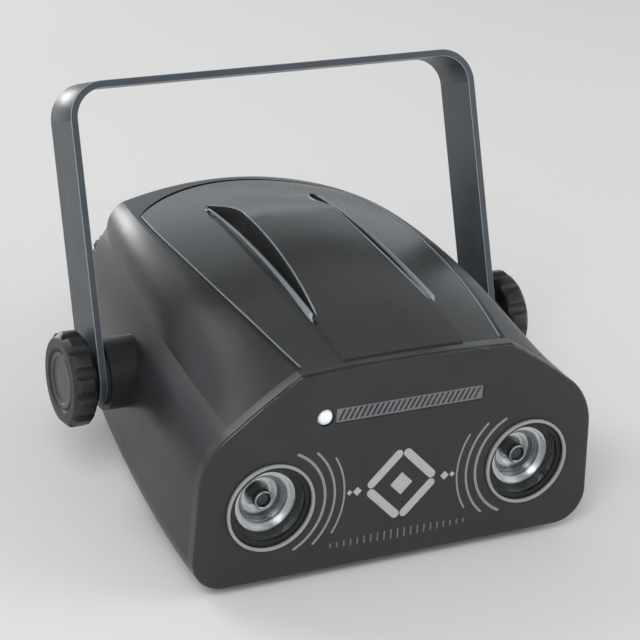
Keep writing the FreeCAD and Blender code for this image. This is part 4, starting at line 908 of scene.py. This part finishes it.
def make_knob_cap(side, tag):
    """The inlaid cap in the face of a clamp knob, with a raised ring and a shallow bowl."""
    cap = bmesh.new()
    lathe(cap, CAP_PROFILE, (side * KNOB_FACE_X, PIVOT_Y, PIVOT_Z), (side, 0, 0), CAP_SEGMENTS)
    link_piece(f"knob_cap_{tag}", finish_mesh("knob_cap", cap), f"knob_{tag}", KNOB_CAP)


# Stage, light and camera, in metres

FLOOR_REACH, FLOOR_LEVEL = 6.0, -0.00005
FLOOR_TONES = ((0.3, (0.845, 0.82, 0.805)), (0.7, (0.87, 0.845, 0.83)))
# The colour of the world by the height of the direction, from the horizon up
SKY = ((0.03, (0.3, 0.305, 0.31)), (0.16, (0.86, 0.95, 1.0)), (0.38, (0.88, 0.96, 1.0)),
       (0.57, (0.52, 0.545, 0.56)), (0.78, (0.2, 0.2, 0.2)))
SKY_STRENGTH = 1.1
# Name, place, aim, size and power in watts
LAMPS = (
    ("key", (-0.55, -0.75, 0.85), (0, 0, 0.05), (0.5, 0.5), 5.8),
    ("fill", (0.8, -0.6, 0.5), (0, 0, 0.04), (0.6, 0.6), 2.0),
    ("rim", (-0.6, 0.8, 0.9), (0, 0, 0.05), (0.6, 0.4), 3.0),
    ("shoulder", (-0.16, 1.2, 0.15), (0, 0, 0.05), (0.32, 0.26), 2.6),
)
CAMERA_ANGLES = (-28.01, 23.86, -3.68)  # turn, rise and roll in degrees
CAMERA_MIDDLE, CAMERA_DISTANCE = (0.0, -0.029, 0.0525), 0.600
AIM_LEFT, AIM_UP = 0.00539, 0.0020  # from the middle to the point that is aimed at
VIEW_WIDTH = 0.17464  # of the picture, at the middle
SENSOR_MM = 36.0


def make_stage():
    """The pale floor, and a world that is brightest low over the horizon."""
    mesh = bpy.data.meshes.new("floor")
    corners = [(x * FLOOR_REACH, y * FLOOR_REACH, FLOOR_LEVEL)
               for x, y in ((-1, -1), (1, -1), (1, 1), (-1, 1))]
    mesh.from_pydata(corners, [], [(0, 1, 2, 3)])
    floor = bpy.data.objects.new("floor", mesh)
    bpy.context.scene.collection.objects.link(floor)
    graph = Graph("floor_pale")
    graph.colour(graph.ramp(graph.noise(3.0, 2.0), FLOOR_TONES))
    graph.set(Roughness=0.9, Specular_IOR_Level=0.1)
    mesh.materials.append(graph.material)

    world = bpy.data.worlds.new("studio")
    bpy.context.scene.world = world
    world.use_nodes = True
    tree = world.node_tree
    background = tree.nodes["Background"]
    place = tree.nodes.new("ShaderNodeTexCoord")
    split = tree.nodes.new("ShaderNodeSeparateXYZ")
    sky = tree.nodes.new("ShaderNodeValToRGB")
    sky.color_ramp.interpolation = "EASE"
    set_stops(sky.color_ramp, SKY)
    tree.links.new(place.outputs["Generated"], split.inputs["Vector"])
    tree.links.new(split.outputs["Z"], sky.inputs["Fac"])
    tree.links.new(sky.outputs["Color"], background.inputs["Color"])
    background.inputs["Strength"].default_value = SKY_STRENGTH


def add_lamp(name, at, aim, size, power):
    """A soft box that faces a point."""
    data = bpy.data.lights.new(name, "AREA")
    data.shape = "RECTANGLE"
    data.size, data.size_y = size
    data.energy = power
    lamp = bpy.data.objects.new(name, data)
    lamp.location = at
    lamp.rotation_euler = (Vector(aim) - Vector(at)).to_track_quat("-Z", "Y").to_euler()
    bpy.context.scene.collection.objects.link(lamp)


def make_camera():
    """The viewing angle of the photograph: from the front left, a little above."""
    turn, rise, roll = (math.radians(value) for value in CAMERA_ANGLES)
    back = Vector((math.sin(turn) * math.cos(rise), -math.cos(turn) * math.cos(rise), math.sin(rise)))
    right = Vector((math.cos(turn), math.sin(turn), 0.0))
    up = back.cross(right)
    across = right * math.cos(roll) - up * math.sin(roll)
    upright = right * math.sin(roll) + up * math.cos(roll)
    middle = Vector(CAMERA_MIDDLE)
    eye = middle + back * CAMERA_DISTANCE
    aim = middle - across * AIM_LEFT + upright * AIM_UP
    look = (eye - aim).normalized()
    side = upright.cross(look).normalized()
    data = bpy.data.cameras.new("camera")
    data.sensor_width = SENSOR_MM
    data.lens = SENSOR_MM * CAMERA_DISTANCE / VIEW_WIDTH
    data.clip_start = 0.01
    camera = bpy.data.objects.new("camera", data)
    facing = Matrix((side, look.cross(side), look)).transposed()
    camera.matrix_world = Matrix.LocRotScale(eye, facing, None)
    bpy.context.scene.collection.objects.link(camera)
    bpy.context.scene.camera = camera


dress_all()
smooth_by_angle("top_cover")
smooth_by_angle("front_panel")
# The bracket's bevels get the lighter paint, a painted highlight along its edges.
soften("bracket", 0.4, EDGE_HIGHLIGHT)
for node, width in (("lens_trim_left", 0.25), ("lens_trim_right", 0.25),
                    ("clamp_knob_left", 0.3), ("clamp_knob_right", 0.3),
                    ("microphone_grille", 0.12), ("sound_knob", 0.25), ("speed_knob", 0.25),
                    ("control_nuts", 0.15), ("mode_slider", 0.2)):
    soften(node, width)
make_print()
make_beads()
for hand, label in SIDES:
    make_lens_core(hand, label)
    make_knob_cap(hand, label)
make_screws()
make_feet()
make_rear_print()
make_rear()
make_stage()
for row in LAMPS:
    add_lamp(*row)
make_camera()
bpy.context.scene.view_settings.view_transform = "Standard"
